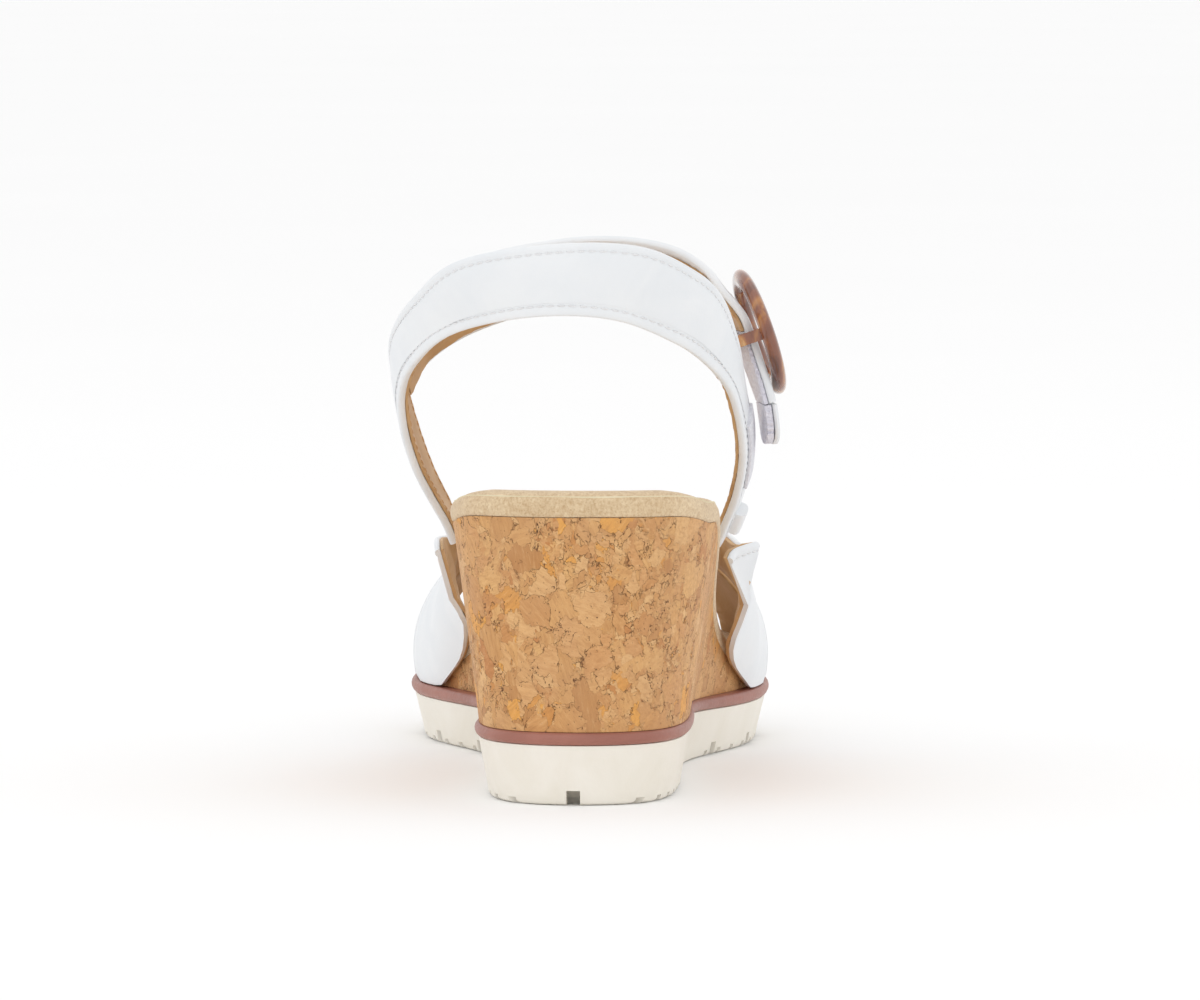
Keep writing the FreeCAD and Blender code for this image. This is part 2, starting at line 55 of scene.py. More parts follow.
Knots = Sequence[tuple[float, float]]


class Side(Enum):
    """Which side of the foot, with its sign along X."""

    MEDIAL = -1
    LATERAL = 1


class Edge(Enum):
    """Which edge of a strap a distance is measured from, or a share of its width."""

    REAR = "rear"
    FRONT = "front"
    SHARE = "share"


# ---- curves -------------------------------------------------------------------------------
def ramp(start: float, end: float, s: float) -> float:
    """Cosine ease from 0 at start to 1 at end.

    Args:
        start: Station where it begins.
        end: Station where it ends.
        s: Station asked for.

    Returns:
        Share between 0 and 1.
    """
    t = min(max((s - start) / (end - start), 0.0), 1.0)
    return 0.5 * (1.0 - math.cos(math.pi * t))


def through(knots: Knots, s: float) -> float:
    """Smooth value through knots, without overshoot.

    Args:
        knots: Pairs of station and value.
        s: Station asked for.

    Returns:
        Value there.
    """
    if s <= knots[0][0]:
        return knots[0][1]
    if s >= knots[-1][0]:
        return knots[-1][1]
    slopes = [(b[1] - a[1]) / (b[0] - a[0]) for a, b in zip(knots, knots[1:])]
    i = max(j for j in range(len(slopes)) if knots[j][0] <= s)

    def tangent(j: int) -> float:
        """Slope at knot j."""
        if j == 0 or j == len(slopes):
            return slopes[min(j, len(slopes) - 1)]
        before, after = slopes[j - 1], slopes[j]
        return 0.0 if before * after <= 0 else 2 * before * after / (before + after)

    width = knots[i + 1][0] - knots[i][0]
    t = (s - knots[i][0]) / width
    rise = knots[i + 1][1] - knots[i][1]
    start, end = tangent(i) * width, tangent(i + 1) * width
    bend = (3 * rise - 2 * start - end) * t**2 + (start + end - 2 * rise) * t**3
    return knots[i][1] + start * t + bend


def catmull(points: Sequence[np.ndarray], u: float) -> np.ndarray:
    """Point of a smooth curve through evenly spaced points.

    Args:
        points: Points that the curve passes.
        u: Place along it, from 0 to 1.

    Returns:
        The point there.
    """
    place = u * (len(points) - 1)
    i = min(int(place), len(points) - 2)
    t = place - i
    p0, p1 = points[max(i - 1, 0)], points[i]
    p2, p3 = points[i + 1], points[min(i + 2, len(points) - 1)]
    return (p1 * 2 + (p2 - p0) * t + (p0 * 2 - p1 * 5 + p2 * 4 - p3) * t**2
            + (p1 * 3 - p0 - p2 * 3 + p3) * t**3) * 0.5


def closed_spline(points: np.ndarray, samples: int) -> np.ndarray:
    """Smooth closed curve through points.

    Args:
        points: Rows of coordinates.
        samples: Number of points wanted on it.

    Returns:
        Points on the curve, evenly spaced along it, without the first repeated.
    """
    count = len(points)
    chord = np.linalg.norm(np.roll(points, -1, 0) - points, axis=1)
    matrix, right = np.zeros((count, count)), np.zeros((count, points.shape[1]))
    for i in range(count):
        before, after, following = chord[i - 1], chord[i], (i + 1) % count
        matrix[i, i - 1] += after
        matrix[i, i] += 2 * (before + after)
        matrix[i, following] += before
        right[i] = 3 * (after * (points[i] - points[i - 1]) / before
                        + before * (points[following] - points[i]) / after)
    slope = np.linalg.solve(matrix, right)
    reach = np.concatenate([[0.0], np.cumsum(chord)])
    curve = []
    for place in np.linspace(0.0, reach[-1], samples, endpoint=False):
        i = min(int(np.searchsorted(reach, place, side="right")) - 1, count - 1)
        h, t = chord[i], (place - reach[i]) / chord[i]
        a, b = points[i], points[(i + 1) % count]
        m, n = slope[i] * h, slope[(i + 1) % count] * h
        curve.append(a + m * t + (3 * (b - a) - 2 * m - n) * t**2 + (m + n - 2 * (b - a)) * t**3)
    return np.array(curve)


# ---- the last: sizes that every piece shares --------------------------------------------------
@dataclass(frozen=True)
class Last:
    """Sizes of the last and the sole, in millimetres, by station from the heel's back."""

    heel_seat: float = 75.5
    ball_seat: float = 24.0
    toe_spring: float = 8.5
    spring_start: float = 170.0
    outsole_heel: float = 15.0
    outsole_ball: float = 12.0
    welt: float = 3.2
    cover: float = 6.2
    heel_reveal: float = 1.0
    ball_reveal: float = 3.2
    high_level: float = 78.0
    slope: tuple = (38, 182)
    length: float = 250.0
    half_length: float = 125.0
    tilt: tuple = ((0, 1.9), (10, 1.6), (40, -1.9), (60, -1.6), (100, 0))
    plan: tuple = (
        (5, 0, 0, 0), (7, 10.5, 2, 13.5), (13, 18.8, 9, 24.5), (24, 24, 22, 31.2), (40, 26, 40, 33.9),
        (62, 25.8, 62, 34.5), (86, 24.4, 86, 35), (110, 23.8, 110, 35), (128, 26.6, 128, 35),
        (146, 32.2, 146, 35.5), (162, 36.6, 162, 37), (180, 38.6, 180, 38.2), (200, 36.8, 200, 36),
        (219, 29, 219, 28), (235, 15.5, 234, 14.5), (246, -1, 244.5, -1.5), (250, -18, 248, -18),
        (245.5, -34, 243.5, -33.5), (233, -45.8, 231.5, -45), (216, -52.7, 215, -52),
        (198, -54.9, 198, -54.2), (180, -53.6, 180, -52.6), (163, -47.8, 163, -46.8),
        (146, -39.4, 146, -40), (126, -31.8, 126, -37), (100, -26.6, 100, -36.3), (72, -25.4, 72, -35.2),
        (46, -26, 46, -34.2), (26, -24.2, 24, -31), (13.5, -18.6, 9.5, -24.5), (7.2, -10.5, 2.2, -13.5))

    def toe_rise(self, s: float) -> float:
        """Height of the sole's underside, which lifts off the ground at the toe."""
        return self.toe_spring * max((s - self.spring_start) / (self.length - self.spring_start), 0.0) ** 2

    def outsole_top(self, s: float) -> float:
        """Height of the outsole's top."""
        thick = self.outsole_heel + (self.outsole_ball - self.outsole_heel) * ramp(60, 160, s)
        return self.toe_rise(s) + thick - 2.0 * ramp(180, 250, s)

    def welt_top(self, s: float) -> float:
        """Height of the welt band's top."""
        return self.outsole_top(s) + self.welt

    def seat(self, s: float) -> float:
        """Height of the foot's underside, from which the upper is measured."""
        fall = 1.0 - ramp(*self.slope, s)
        return self.ball_seat + (self.heel_seat - self.ball_seat) * fall + self.toe_rise(s)

    def footbed(self, s: float) -> float:
        """Height of the footbed, which falls away from the back of the heel."""
        return self.seat(s) + through(self.tilt, s)

    def reveal(self, s: float) -> float:
        """Ledge of the sole left free round the wedge, low down."""
        return self.heel_reveal + (self.ball_reveal - self.heel_reveal) * ramp(112, 150, s)

    def inset(self, high: bool, distance: Callable[[float], float]) -> np.ndarray:
        """The plan moved inwards.

        Args:
            high: True for the plan at footbed height.
            distance: Distance inwards by station.

        Returns:
            Rows of offset and station.
        """
        rows = [(row[3], row[2]) if high else (row[1], row[0]) for row in self.plan]
        moved = []
        for i, (x, s) in enumerate(rows):
            before, after = rows[i - 1], rows[(i + 1) % len(rows)]
            along = np.array([after[0] - before[0], after[1] - before[1]], float)
            along /= np.linalg.norm(along)
            moved.append((x - along[1] * distance(s), s + along[0] * distance(s)))
        return np.array(moved, float)

    def foot(self, s: float, x: float, h: float) -> np.ndarray:
        """Place in the frame, in millimetres, of a point h above the seat."""
        return np.array([x, s - self.half_length, self.seat(s) + h])


LAST = Last()
AROUND = 300


class Walls:
    """Walls of the wedge: ruled between a low and a high plan."""

    def __init__(self, depth: float = 0.0) -> None:
        """Sets both plans, moved in by depth."""
        self.low = closed_spline(LAST.inset(False, lambda s: LAST.reveal(s) + depth), AROUND)
        self.high = closed_spline(
            LAST.inset(True, lambda s: LAST.reveal(s) - LAST.heel_reveal + depth), AROUND)

    def ring(self, height: Callable[[float], float], out: float = 0.0) -> np.ndarray:
        """Ring of points on the wall.

        Args:
            height: Height of the ring by station.
            out: How far it stands outside the wall.

        Returns:
            Rows of x, y and z in millimetres.
        """
        share = np.full(AROUND, 0.5)
        for _ in range(4):
            flat = self.low + (self.high - self.low) * share[:, None]
            z = np.array([height(s) for s in flat[:, 1]])
            share = (z - LAST.outsole_ball) / (LAST.high_level - LAST.outsole_ball)
        flat = outward(flat, out)
        return np.column_stack([flat[:, 0], flat[:, 1] - LAST.half_length, z])

    def offset(self, s: float, z: float, side: Side) -> float:
        """Offset of the wall from the heel's centre line, at a station and height."""
        share = (z - LAST.outsole_ball) / (LAST.high_level - LAST.outsole_ball)
        low, high = self._cross(self.low, s, side), self._cross(self.high, s, side)
        return low + (high - low) * share

    @staticmethod
    def _cross(line: np.ndarray, s: float, side: Side) -> float:
        """Offset where a closed plan crosses a station, on one side."""
        following = np.roll(line, -1, 0)
        hit = (line[:, 1] - s) * (following[:, 1] - s) <= 0
        a, b = line[hit], following[hit]
        x = a[:, 0] + (b[:, 0] - a[:, 0]) * (s - a[:, 1]) / (b[:, 1] - a[:, 1] + 1e-12)
        return side.value * float(np.max(side.value * x))


def outward(flat: np.ndarray, distance: float) -> np.ndarray:
    """A closed plan moved outwards.

    Args:
        flat: Rows of offset and station, running from the back towards the outer side.
        distance: Distance outwards.

    Returns:
        The moved rows.
    """
    along = np.roll(flat, -1, 0) - np.roll(flat, 1, 0)
    along /= np.linalg.norm(along, axis=1)[:, None]
    return flat + np.column_stack([along[:, 1], -along[:, 0]]) * distance


# ---- modelling helpers --------------------------------------------------------------------------
def deselect() -> None:
    """Leaves nothing selected."""
    if bpy.context.mode != "OBJECT":
        bpy.ops.object.mode_set(mode="OBJECT")
    bpy.ops.object.select_all(action="DESELECT")


def net(name: str, places: np.ndarray, closed_columns: bool = False, closed_rows: bool = False,
        cap: bool = True) -> bpy.types.Object:
    """A grid laid on places, welded where it closes on itself and capped where it is open.

    Args:
        name: Name of the piece.
        places: Rows by columns of x, y and z in millimetres.
        closed_columns: True if the last column is the first one again.
        closed_rows: True if the last row is the first one again.
        cap: True to close open rims with faces.

    Returns:
        The piece, with its faces outwards.
    """
    rows, columns = places.shape[:2]
    deselect()
    bpy.ops.mesh.primitive_grid_add(x_subdivisions=columns - 1, y_subdivisions=rows - 1, size=1.0)
    piece = bpy.context.object
    piece.name = piece.data.name = name
    flat = np.empty(len(piece.data.vertices) * 3)
    piece.data.vertices.foreach_get("co", flat)
    flat = flat.reshape(-1, 3) + 0.5
    column = np.rint(flat[:, 0] * (columns - 1)).astype(int)
    row = np.rint(flat[:, 1] * (rows - 1)).astype(int)
    piece.data.vertices.foreach_set("co", (places[row, column] * MM).ravel())
    piece.data.update()
    bpy.ops.object.mode_set(mode="EDIT")
    bpy.ops.mesh.select_all(action="SELECT")
    if closed_columns or closed_rows:
        bpy.ops.mesh.remove_doubles(threshold=1e-6)
    if cap:
        bpy.ops.mesh.select_all(action="DESELECT")
        bpy.ops.mesh.select_mode(type="EDGE")
        bpy.ops.mesh.select_non_manifold(extend=False, use_wire=False, use_multi_face=False,
                                         use_non_contiguous=False, use_verts=False)
        bpy.ops.mesh.fill_holes(sides=0)
        bpy.ops.mesh.quads_convert_to_tris(quad_method="BEAUTY", ngon_method="BEAUTY")
        bpy.ops.mesh.select_mode(type="VERT")
    bpy.ops.mesh.select_all(action="SELECT")
    bpy.ops.mesh.normals_make_consistent(inside=False)
    bpy.ops.object.mode_set(mode="OBJECT")
    return smooth(piece)


def smooth(piece: bpy.types.Object, angle: float = 42.0) -> bpy.types.Object:
    """Shades a piece smooth except over sharp edges."""
    deselect()
    piece.select_set(True)
    bpy.context.view_layer.objects.active = piece
    bpy.ops.object.shade_smooth_by_angle(angle=math.radians(angle))
    piece.select_set(False)
    return piece


def applied(piece: bpy.types.Object, kind: str, **settings: object) -> bpy.types.Object:
    """Adds a modifier and applies it.

    Args:
        piece: Piece to change.
        kind: Modifier type.
        **settings: Its values.

    Returns:
        The piece.
    """
    deselect()
    piece.select_set(True)
    bpy.context.view_layer.objects.active = piece
    modifier = piece.modifiers.new(kind.lower(), kind)
    for key, value in settings.items():
        setattr(modifier, key, value)
    bpy.ops.object.modifier_apply(modifier=modifier.name)
    return piece


def dress(piece: bpy.types.Object, material: bpy.types.Material, body: str, nodes: Sequence[str] = ()) -> bpy.types.Object:
    """Gives a piece its material, body, stood-for nodes and material slot.

    Args:
        piece: Piece to dress.
        material: Its finish.
        body: Body it rides on, or an empty string to leave it unattached.
        nodes: Nodes of the frame that it stands for.

    Returns:
        The piece.
    """
    piece.data.materials.clear()
    piece.data.materials.append(material)
    if body:
        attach(piece, body)
    if nodes:
        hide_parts(*nodes)
    LOG.info("%s: %d faces", piece.name, len(piece.data.polygons))
    return piece


def normal_of(surface: Surface, u: float, v: float) -> np.ndarray:
    """Unit normal of a surface, outwards from the foot."""
    step = 0.004
    along = surface(min(u + step, 1), v) - surface(max(u - step, 0), v)
    across = surface(u, min(v + step, 1)) - surface(u, max(v - step, 0))
    normal = np.cross(along, across)
    return normal / np.linalg.norm(normal)


@dataclass(frozen=True)
class Mark:
    """A point of a strap's cross-section: where across it, and how far out of its face."""

    edge: Edge
    place: float
    out: float
    waver: float = 0.0


@dataclass(frozen=True)
class Section:
    """Sizes of a folded leather strap's cross-section, in millimetres."""

    thick: float = 1.85
    rim: float = 0.2
    rear_seam: float = 2.6
    front_seam: float = 2.0
    crown: float = 0.12
    steps: int = 4

    def marks(self) -> list[Mark]:
        """Points round the section, from the rear edge over the outer face and back inside."""
        loop = self._face(Edge.REAR, self.rear_seam)
        loop += [Mark(Edge.SHARE, share, self.crown) for share in self._shares()]
        loop += self._face(Edge.FRONT, self.front_seam)[::-1]
        half = self.thick / 2
        roll = [(0.32, 0.02), (0.08, -0.38), (0.0, -half), (0.12, -self.thick + 0.35),
                (0.45, -self.thick + 0.06)]
        loop += [Mark(Edge.FRONT, place, out) for place, out in roll]
        loop += [Mark(Edge.SHARE, share, -self.thick) for share in self._shares()[::-1]]
        loop += [Mark(Edge.REAR, place, out) for place, out in roll[::-1]]
        return loop + loop[:1]

    def _shares(self) -> list[float]:
        """Shares of the width at which the middle of the section has points."""
        return [0.2 + 0.6 * i / self.steps for i in range(self.steps + 1)]

    def _face(self, edge: Edge, seam: float) -> list[Mark]:
        """Outer face by one edge: rolled rim, then the dip that the thread pulls in."""
        return [Mark(edge, 0.75, 0.75 * self.rim), Mark(edge, 0.55 * seam, self.rim),
                Mark(edge, seam - 0.5, 0.3 * self.rim), Mark(edge, seam, -0.12),
                Mark(edge, seam + 0.5, -0.02), Mark(edge, seam + 1.1, 0.06)]


def slab(near: float, far: float, margin: float, waver: float = 0.0, steps: int = 5) -> list[Mark]:
    """Cross-section of a flat layer with cut edges.

    Args:
        near: Its outer face, inwards negative.
        far: Its inner face.
        margin: Distance from each edge of the strap.
        waver: How unevenly its edges are cut.
        steps: Points across it.

    Returns:
        Points round the section, the first one again at the end.
    """
    shares = [0.15 + 0.7 * i / steps for i in range(steps + 1)]
    soft = 0.18
    loop = [Mark(Edge.REAR, margin + soft, near, waver)]
    loop += [Mark(Edge.SHARE, share, near) for share in shares]
    loop += [Mark(Edge.FRONT, margin + soft, near, waver), Mark(Edge.FRONT, margin, near - soft, waver),
             Mark(Edge.FRONT, margin, far + soft, waver), Mark(Edge.FRONT, margin + soft, far, waver)]
    loop += [Mark(Edge.SHARE, share, far) for share in shares[::-1]]
    loop += [Mark(Edge.REAR, margin + soft, far, waver), Mark(Edge.REAR, margin, far + soft, waver),
             Mark(Edge.REAR, margin, near - soft, waver)]
    return loop + loop[:1]


def domed(height: float, foot: float) -> list[Mark]:
    """Cross-section of a small folded tab: round on top, flat underneath.

    Args:
        height: Height of its top.
        foot: Height of its underside.

    Returns:
        Points round the section, the first one again at the end.
    """
    arc = [math.pi * i / 12 for i in range(13)]
    rise = height - foot
    loop = [Mark(Edge.SHARE, 0.5 - 0.5 * math.cos(a), foot + rise * math.sin(a) ** 0.6) for a in arc]
    loop += [Mark(Edge.SHARE, share, foot) for share in (0.8, 0.5, 0.2)]
    return loop + loop[:1]


@dataclass(frozen=True)
class Strip:
    """A strap or patch laid on a surface: u runs along it and v across it."""

    surface: Surface
    start: float = 0.0
    end: float = 1.0
    columns: int = 150
    unevenness: float = 0.05

    def width(self, u: float) -> float:
        """Width across at u, in millimetres."""
        points = [self.surface(u, v) for v in (0.0, 0.25, 0.5, 0.75, 1.0)]
        return float(sum(np.linalg.norm(b - a) for a, b in zip(points, points[1:])))

    def v_at(self, u: float, edge: Edge, place: float) -> float:
        """Share across the strap of a place measured from an edge."""
        if edge is Edge.SHARE:
            return place
        share = min(place / self.width(u), 0.5)
        return share if edge is Edge.REAR else 1.0 - share

    def point(self, u: float, v: float, out: float) -> np.ndarray:
        """Point out of the face at u and v, with the hide's slight unevenness."""
        base = self.surface(u, v)
        lump = noise.noise(Vector(base * 0.055)) * self.unevenness
        return base + normal_of(self.surface, u, v) * (out + lump)

    def loft(self, name: str, marks: Sequence[Mark]) -> bpy.types.Object:
        """Closed piece with a cross-section carried along the strip.

        Args:
            name: Name of the piece.
            marks: Cross-section, the first point again at the end.

        Returns:
            The piece.
        """
        places = np.empty((len(marks), self.columns + 1, 3))
        for i in range(self.columns + 1):
            u = self.start + (self.end - self.start) * i / self.columns
            for j, mark in enumerate(marks):
                spot = Vector((i * 0.45, mark.place * 9.0, 40.0 if mark.edge is Edge.REAR else 0.0))
                place = mark.place + mark.waver * noise.noise(spot)
                places[j, i] = self.point(u, self.v_at(u, mark.edge, place), mark.out)
        return net(name, places, closed_rows=True)


@dataclass(frozen=True)
class Seam:
    """A row of stitches along a strip, at a distance from one of its edges."""

    edge: Edge = Edge.REAR
    place: float = 2.6
    out: float = -0.02
    start: float = 0.0
    end: float = 1.0
    pitch: float = 2.7
    length: float = 2.05
    width: float = 0.55
    height: float = 0.42
    samples: int = 500
    step: float = 0.003

    def spot(self, strip: Strip, u: float) -> np.ndarray:
        """Place of the row at u along the strip."""
        return strip.point(u, strip.v_at(u, self.edge, self.place), self.out)

    def sew(self, name: str, strip: Strip, thread: bpy.types.Material, body: str) -> bpy.types.Object:
        """Sews the row: one stitch is modelled, and its copies make one piece.

        Args:
            name: Name of the piece.
            strip: Strip that it is sewn on.
            thread: Finish of the thread.
            body: Body it rides on, or an empty string to leave it unattached.

        Returns:
            The piece.
        """
        deselect()
        bpy.ops.mesh.primitive_uv_sphere_add(segments=8, ring_count=6, radius=0.5)
        model = bpy.context.object
        shape = np.array([v.co for v in model.data.vertices])
        shape = shape[:, [2, 0, 1]] * np.array([self.length, self.width, self.height])
        faces = [tuple(p.vertices) for p in model.data.polygons]
        bpy.data.objects.remove(model)
        line = [self.start + (self.end - self.start) * i / self.samples for i in range(self.samples + 1)]
        spots = [self.spot(strip, u) for u in line]
        reach = np.concatenate([[0.0], np.cumsum([np.linalg.norm(b - a) for a, b in zip(spots, spots[1:])])])
        verts, polygons = [], []
        for k in range(int(reach[-1] / self.pitch)):
            u = float(np.interp((k + 0.5) * self.pitch, reach, line))
            here = self.spot(strip, u)
            along = self.spot(strip, min(u + self.step, 1.0)) - self.spot(strip, max(u - self.step, 0.0))
            along /= np.linalg.norm(along)
            up = normal_of(strip.surface, u, strip.v_at(u, self.edge, self.place))
            side = np.cross(up, along)
            side /= np.linalg.norm(side)
            lean = 0.06 * math.sin(12.9898 * k)
            along, side = along + side * lean, side - along * lean
            first = len(verts)
            verts += [tuple((here + along * a + side * b + up * c) * MM) for a, b, c in shape]
            polygons += [tuple(i + first for i in face) for face in faces]
        mesh = bpy.data.meshes.new(name)
        mesh.from_pydata(verts, [], polygons)
        piece = bpy.data.objects.new(name, mesh)
        bpy.context.collection.objects.link(piece)
        mesh.shade_smooth()
        deselect()
        bpy.context.view_layer.objects.active = piece
        piece.select_set(True)
        bpy.ops.object.mode_set(mode="EDIT")
        bpy.ops.mesh.select_all(action="SELECT")
        bpy.ops.mesh.normals_make_consistent(inside=False)
        bpy.ops.object.mode_set(mode="OBJECT")
        return dress(piece, thread, body)


# ---- finishes -----------------------------------------------------------------------------------
def tone(red: int, green: int, blue: int) -> tuple[float, float, float, float]:
    """Linear colour of a swatch given as three 8-bit numbers."""
    def linear(value: int) -> float:
        """One channel made linear."""
        share = value / 255.0
        return share / 12.92 if share <= 0.04045 else ((share + 0.055) / 1.055) ** 2.4
    return linear(red), linear(green), linear(blue), 1.0


class Tree:
    """Adds and joins the nodes of one material or group."""

    def __init__(self, tree: bpy.types.NodeTree) -> None:
        """Keeps the tree."""
        self.tree = tree

    def set(self, socket: bpy.types.NodeSocket, value: object) -> None:
        """Links a socket to another, or sets its value."""
        if isinstance(value, bpy.types.NodeSocket):
            self.tree.links.new(value, socket)
        else:
            socket.default_value = value

    def add(self, kind: str, inputs: Optional[dict] = None, **settings: object) -> bpy.types.Node:
        """Adds a node with its settings and inputs."""
        node = self.tree.nodes.new(kind)
        for key, value in settings.items():
            setattr(node, key, value)
        for key, value in (inputs or {}).items():
            self.set(node.inputs[key], value)
        return node

    def math(self, operation: str, a: object, b: object = 0.0,
             clamp: bool = False) -> bpy.types.NodeSocket:
        """Result of a sum on one or two values."""
        return self.add("ShaderNodeMath", {0: a, 1: b}, operation=operation, use_clamp=clamp).outputs[0]

    def mix(self, factor: object, a: object, b: object, blend: str = "MIX") -> bpy.types.NodeSocket:
        """Mix of two colours."""
        node = self.add("ShaderNodeMix", {0: factor, 6: a, 7: b}, data_type="RGBA", blend_type=blend)
        return node.outputs[2]

    def moved(self, vector: object, scale: Sequence[float],
              turn: Sequence[float] = (0, 0, 0)) -> bpy.types.NodeSocket:
        """Coordinates scaled and turned."""
        node = self.add("ShaderNodeMapping", {"Vector": vector, "Scale": scale, "Rotation": turn})
        return node.outputs[0]

    def noise(self, vector: object, scale: object, detail: float = 3.0, rough: float = 0.55,
              warp: float = 0.0) -> bpy.types.Node:
        """Noise texture node."""
        return self.add("ShaderNodeTexNoise", {"Vector": vector, "Scale": scale, "Detail": detail,
                                               "Roughness": rough, "Distortion": warp})

    def cells(self, vector: object, scale: object, feature: str = "F1") -> bpy.types.Node:
        """Voronoi texture node."""
        return self.add("ShaderNodeTexVoronoi", {"Vector": vector, "Scale": scale}, feature=feature)

    def stops(self, value: object, stops: Sequence[tuple]) -> bpy.types.NodeSocket:
        """Colour ramp over a value."""
        node = self.add("ShaderNodeValToRGB", {0: value})
        ramp_stops = node.color_ramp.elements
        while len(ramp_stops) < len(stops):
            ramp_stops.new(0.5)
        for element, (place, colour) in zip(ramp_stops, stops):
            element.position, element.color = place, colour
        return node.outputs[0]

    def range(self, value: object, low: float, high: float, out_low: float = 0.0,
              out_high: float = 1.0) -> bpy.types.NodeSocket:
        """A value brought from one range to another, held at its ends."""
        node = self.add("ShaderNodeMapRange", {0: value, 1: low, 2: high, 3: out_low, 4: out_high})
        return node.outputs[0]


class Effects:
    """Shader node groups that several finishes share."""

    def __init__(self) -> None:
        """Builds every group once."""
        self.grain = self._grain()
        self.mottle = self._mottle()
        self.nap = self._nap()
        self.chips = self._chips()

    @staticmethod
    def _group(name: str, inputs: dict,
               outputs: dict) -> tuple[bpy.types.NodeTree, Tree, dict, bpy.types.Node]:
        """An empty group with its sockets."""
        group = bpy.data.node_groups.new(name, "ShaderNodeTree")
        for key, (kind, value) in inputs.items():
            socket = group.interface.new_socket(name=key, in_out="INPUT", socket_type=kind)
            if value is not None:
                socket.default_value = value
        for key, kind in outputs.items():
            group.interface.new_socket(name=key, in_out="OUTPUT", socket_type=kind)
        tree = Tree(group)
        source = group.nodes.new("NodeGroupInput")
        return group, tree, source.outputs, group.nodes.new("NodeGroupOutput")

    def _grain(self) -> bpy.types.NodeTree:
        """Pebbled grain of coated leather: fine cells with creases between them."""
        group, t, given, out = self._group(
            "hide grain", {"Vector": ("NodeSocketVector", None), "Scale": ("NodeSocketFloat", 900.0)},
            {"Height": "NodeSocketFloat"})
        pebble = t.cells(given["Vector"], given["Scale"], "SMOOTH_F1").outputs["Distance"]
        soft = t.noise(given["Vector"], t.math("MULTIPLY", given["Scale"], 0.22), 4.0).outputs[0]
        t.set(out.inputs[0], t.math("ADD", t.math("MULTIPLY", pebble, -0.6), soft))
        return group

    def _mottle(self) -> bpy.types.NodeTree:
        """Slow cloudy change between two colours."""
        group, t, given, out = self._group(
            "mottle", {"Vector": ("NodeSocketVector", None), "Scale": ("NodeSocketFloat", 60.0),
                       "First": ("NodeSocketColor", None), "Second": ("NodeSocketColor", None)},
            {"Color": "NodeSocketColor", "Value": "NodeSocketFloat"})
        cloud = t.noise(given["Vector"], given["Scale"], 5.0, 0.6, 0.6).outputs[0]
        share = t.range(cloud, 0.34, 0.68)
        t.set(out.inputs[0], t.mix(share, given["First"], given["Second"]))
        t.set(out.inputs[1], share)
        return group

    def _nap(self) -> bpy.types.NodeTree:
        """Short raised fibres: fine clumps that lie in changing directions."""
        group, t, given, out = self._group(
            "nap", {"Vector": ("NodeSocketVector", None), "Scale": ("NodeSocketFloat", 1500.0)},
            {"Height": "NodeSocketFloat", "Tufts": "NodeSocketFloat"})
        bend = t.noise(given["Vector"], t.math("MULTIPLY", given["Scale"], 0.12), 2.0).outputs[1]
        turned = t.add("ShaderNodeVectorMath", {0: given["Vector"], 1: t.add(
            "ShaderNodeVectorMath", {0: bend, "Scale": 0.0012}, operation="SCALE").outputs[0]}).outputs[0]
        fine = t.noise(t.moved(turned, (1.0, 0.45, 0.8)), given["Scale"], 3.0, 0.65).outputs[0]
        tuft = t.noise(turned, t.math("MULTIPLY", given["Scale"], 0.4), 3.0, 0.6).outputs[0]
        t.set(out.inputs[0], t.math("ADD", fine, tuft))
        both = t.math("ADD", t.math("MULTIPLY", fine, 0.6), t.math("MULTIPLY", tuft, 0.4))
        # Tufts: share of the nap's height, which the finishes use for roughness and as painted shade, darker
        # between the tufts and lighter at their tips.
        t.set(out.inputs[1], t.range(both, 0.36, 0.64))
        return group

    def _warp(self, t: Tree, base: object, scale: float, amount: float) -> bpy.types.NodeSocket:
        """Coordinates pushed about by noise."""
        cloud = t.noise(base, scale, 3.0, 0.6).outputs[1]
        shift = t.add("ShaderNodeVectorMath", {0: cloud, 1: (0.5, 0.5, 0.5)}, operation="SUBTRACT").outputs[0]
        shift = t.add("ShaderNodeVectorMath", {0: shift, "Scale": amount}, operation="SCALE").outputs[0]
        return t.add("ShaderNodeVectorMath", {0: base, 1: shift}).outputs[0]

    def _chips(self) -> bpy.types.NodeTree:
        """Pressed cork: chips of mixed size and tone, thin seams, bark specks and fibres."""
        group, t, given, out = self._group(
            "cork chips", {"Vector": ("NodeSocketVector", None), "Scale": ("NodeSocketFloat", 1000.0)},
            {"Color": "NodeSocketColor", "Height": "NodeSocketFloat", "Seam": "NodeSocketFloat"})
        base = t.add("ShaderNodeVectorMath", {0: given["Vector"], "Scale": given["Scale"]},
                     operation="SCALE").outputs[0]
        base = t.moved(base, (1.0, 0.72, 0.78), (0.0, 0.12, 0.0))
        warped = self._warp(t, self._warp(t, base, 0.2, 6.5), 0.75, 1.7)
        seeds, gaps = [], []
        for scale in (0.17, 0.33, 0.62):
            cell = t.cells(warped, scale).outputs["Color"]
            seeds.append(t.add("ShaderNodeSeparateColor", {0: cell}))
            edge = t.cells(warped, scale, "DISTANCE_TO_EDGE").outputs["Distance"]
            gaps.append(t.math("DIVIDE", edge, scale * 6.0))
        middling = t.math("GREATER_THAN", seeds[0].outputs[1], 0.4)
        fine = t.math("MULTIPLY", middling, t.math("GREATER_THAN", seeds[1].outputs[1], 0.5))

